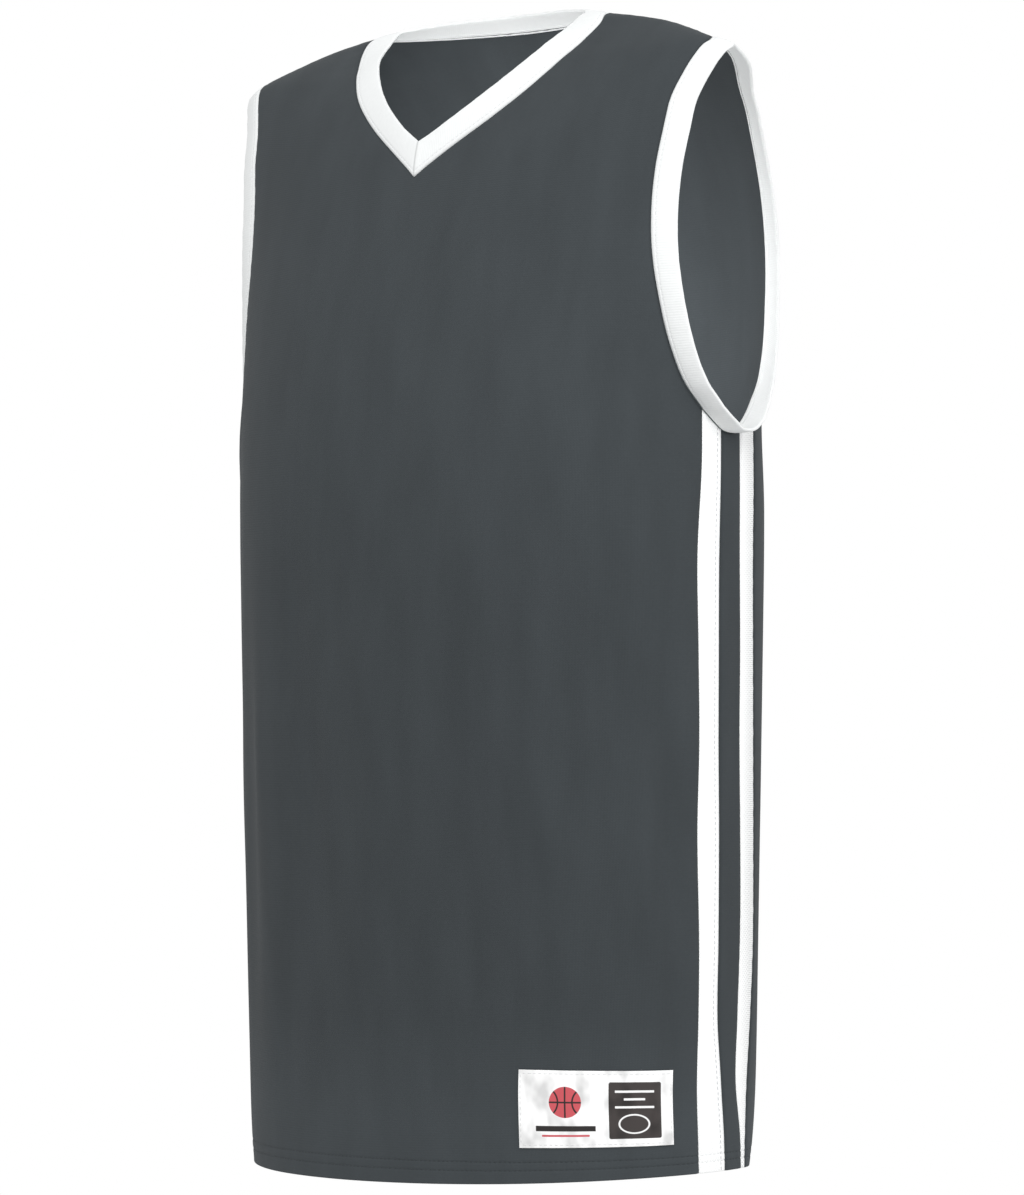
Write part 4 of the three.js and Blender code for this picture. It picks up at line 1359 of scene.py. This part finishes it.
def add_soft_light(name, azimuth, elevation, distance, size, power, target):
    """A square soft box that faces a point."""
    turn, lift = math.radians(azimuth), math.radians(elevation)
    away = Vector((math.sin(turn) * math.cos(lift), -math.cos(turn) * math.cos(lift), math.sin(lift)))
    data = bpy.data.lights.new(name, "AREA")
    data.shape, data.size, data.energy = "SQUARE", size, power
    light = bpy.data.objects.new(name, data)
    light.location = Vector(target) + away * distance
    light.rotation_mode = "QUATERNION"
    light.rotation_quaternion = (-away).to_track_quat("-Z", "Y")
    bpy.context.scene.collection.objects.link(light)
    return light


def studio_paint(name, colour):
    """Matt white studio paint that runs out into the light of the backdrop."""
    material = bpy.data.materials.new(name)
    material.use_nodes = True
    tree = material.node_tree
    tree.nodes.clear()
    place = add_node(tree, "ShaderNodeTexCoord").outputs["Object"]
    reach = vector(tree, "LENGTH", vector(tree, "MULTIPLY", place, (1, 1, 0)))
    out = fade(tree, reach, *FLOOR_FADE, 0.0, 1.0)
    paint = add_node(tree, "ShaderNodeBsdfDiffuse", {"Color": (*colour, 1)})
    glow = add_node(tree, "ShaderNodeEmission", {"Color": (1, 1, 1, 1), "Strength": 1.0})
    mixed = add_node(tree, "ShaderNodeMixShader", {0: out, 1: paint.outputs[0], 2: glow.outputs[0]})
    add_node(tree, "ShaderNodeOutputMaterial", {0: mixed.outputs[0]})
    return material


class JERSEY_OT_stage(bpy.types.Operator):
    """Add the pale floor, the backdrop, the soft lights and the camera"""

    bl_idname = "jersey.stage"
    bl_label = "Stage"

    def execute(self, context):
        add_camera()
        bpy.ops.object.select_all(action="DESELECT")
        bpy.ops.mesh.primitive_plane_add(size=FLOOR_SIZE, location=(0, 0, FLOOR_Z))
        floor = context.object
        floor.name = "floor"
        bpy.ops.mesh.primitive_uv_sphere_add(radius=FLOOR_SIZE / 2, segments=48, ring_count=24)
        backdrop = context.object
        backdrop.name = "backdrop"
        paint = studio_paint("studio_paint", tuple(context.scene.jersey_colours.floor))
        for thing in (floor, backdrop):
            thing.data.materials.append(paint)
            thing.visible_diffuse = False
            thing.visible_glossy = False
            thing.visible_shadow = False
        for values in SOFT_LIGHTS:
            add_soft_light(*values, LIGHTS_MIDDLE)
        inner = add_soft_light(*INNER_LIGHT, INNER_LIGHT_AIM)
        inner.visible_camera = False
        world = bpy.data.worlds.new("studio")
        world.use_nodes = True
        world.node_tree.nodes["Background"].inputs["Color"].default_value = (1, 1, 1, 1)
        world.node_tree.nodes["Background"].inputs["Strength"].default_value = SKY_STRENGTH
        context.scene.world = world
        context.scene.view_settings.view_transform = "Standard"
        return {"FINISHED"}


class JERSEY_PT_panel(bpy.types.Panel):
    """The jersey's tools in the sidebar"""

    bl_label = "Basketball jersey"
    bl_idname = "JERSEY_PT_panel"
    bl_space_type = "VIEW_3D"
    bl_region_type = "UI"
    bl_category = "Jersey"

    def draw(self, context):
        for group in (context.scene.jersey_sizes, context.scene.jersey_colours):
            for name in group.__annotations__:
                self.layout.prop(group, name)
        for operator in OPERATORS:
            self.layout.operator(operator.bl_idname)


OPERATORS = (
    JERSEY_OT_body_panels,
    JERSEY_OT_side_strips,
    JERSEY_OT_neck_band,
    JERSEY_OT_arm_bands,
    JERSEY_OT_hem_label,
    JERSEY_OT_stitching,
    JERSEY_OT_stage,
)
CLASSES = (JerseySizes, JerseyColours, *OPERATORS, JERSEY_PT_panel)


def register():
    for made in CLASSES:
        bpy.utils.register_class(made)
    bpy.types.Scene.jersey_sizes = PointerProperty(type=JerseySizes)
    bpy.types.Scene.jersey_colours = PointerProperty(type=JerseyColours)


def unregister():
    del bpy.types.Scene.jersey_colours
    del bpy.types.Scene.jersey_sizes
    for made in reversed(CLASSES):
        bpy.utils.unregister_class(made)


def main():
    register()
    bpy.ops.jersey.body_panels()
    bpy.ops.jersey.side_strips()
    bpy.ops.jersey.neck_band()
    bpy.ops.jersey.arm_bands()
    bpy.ops.jersey.hem_label()
    bpy.ops.jersey.stitching()
    bpy.ops.jersey.stage()


if __name__ == "__main__":
    main()
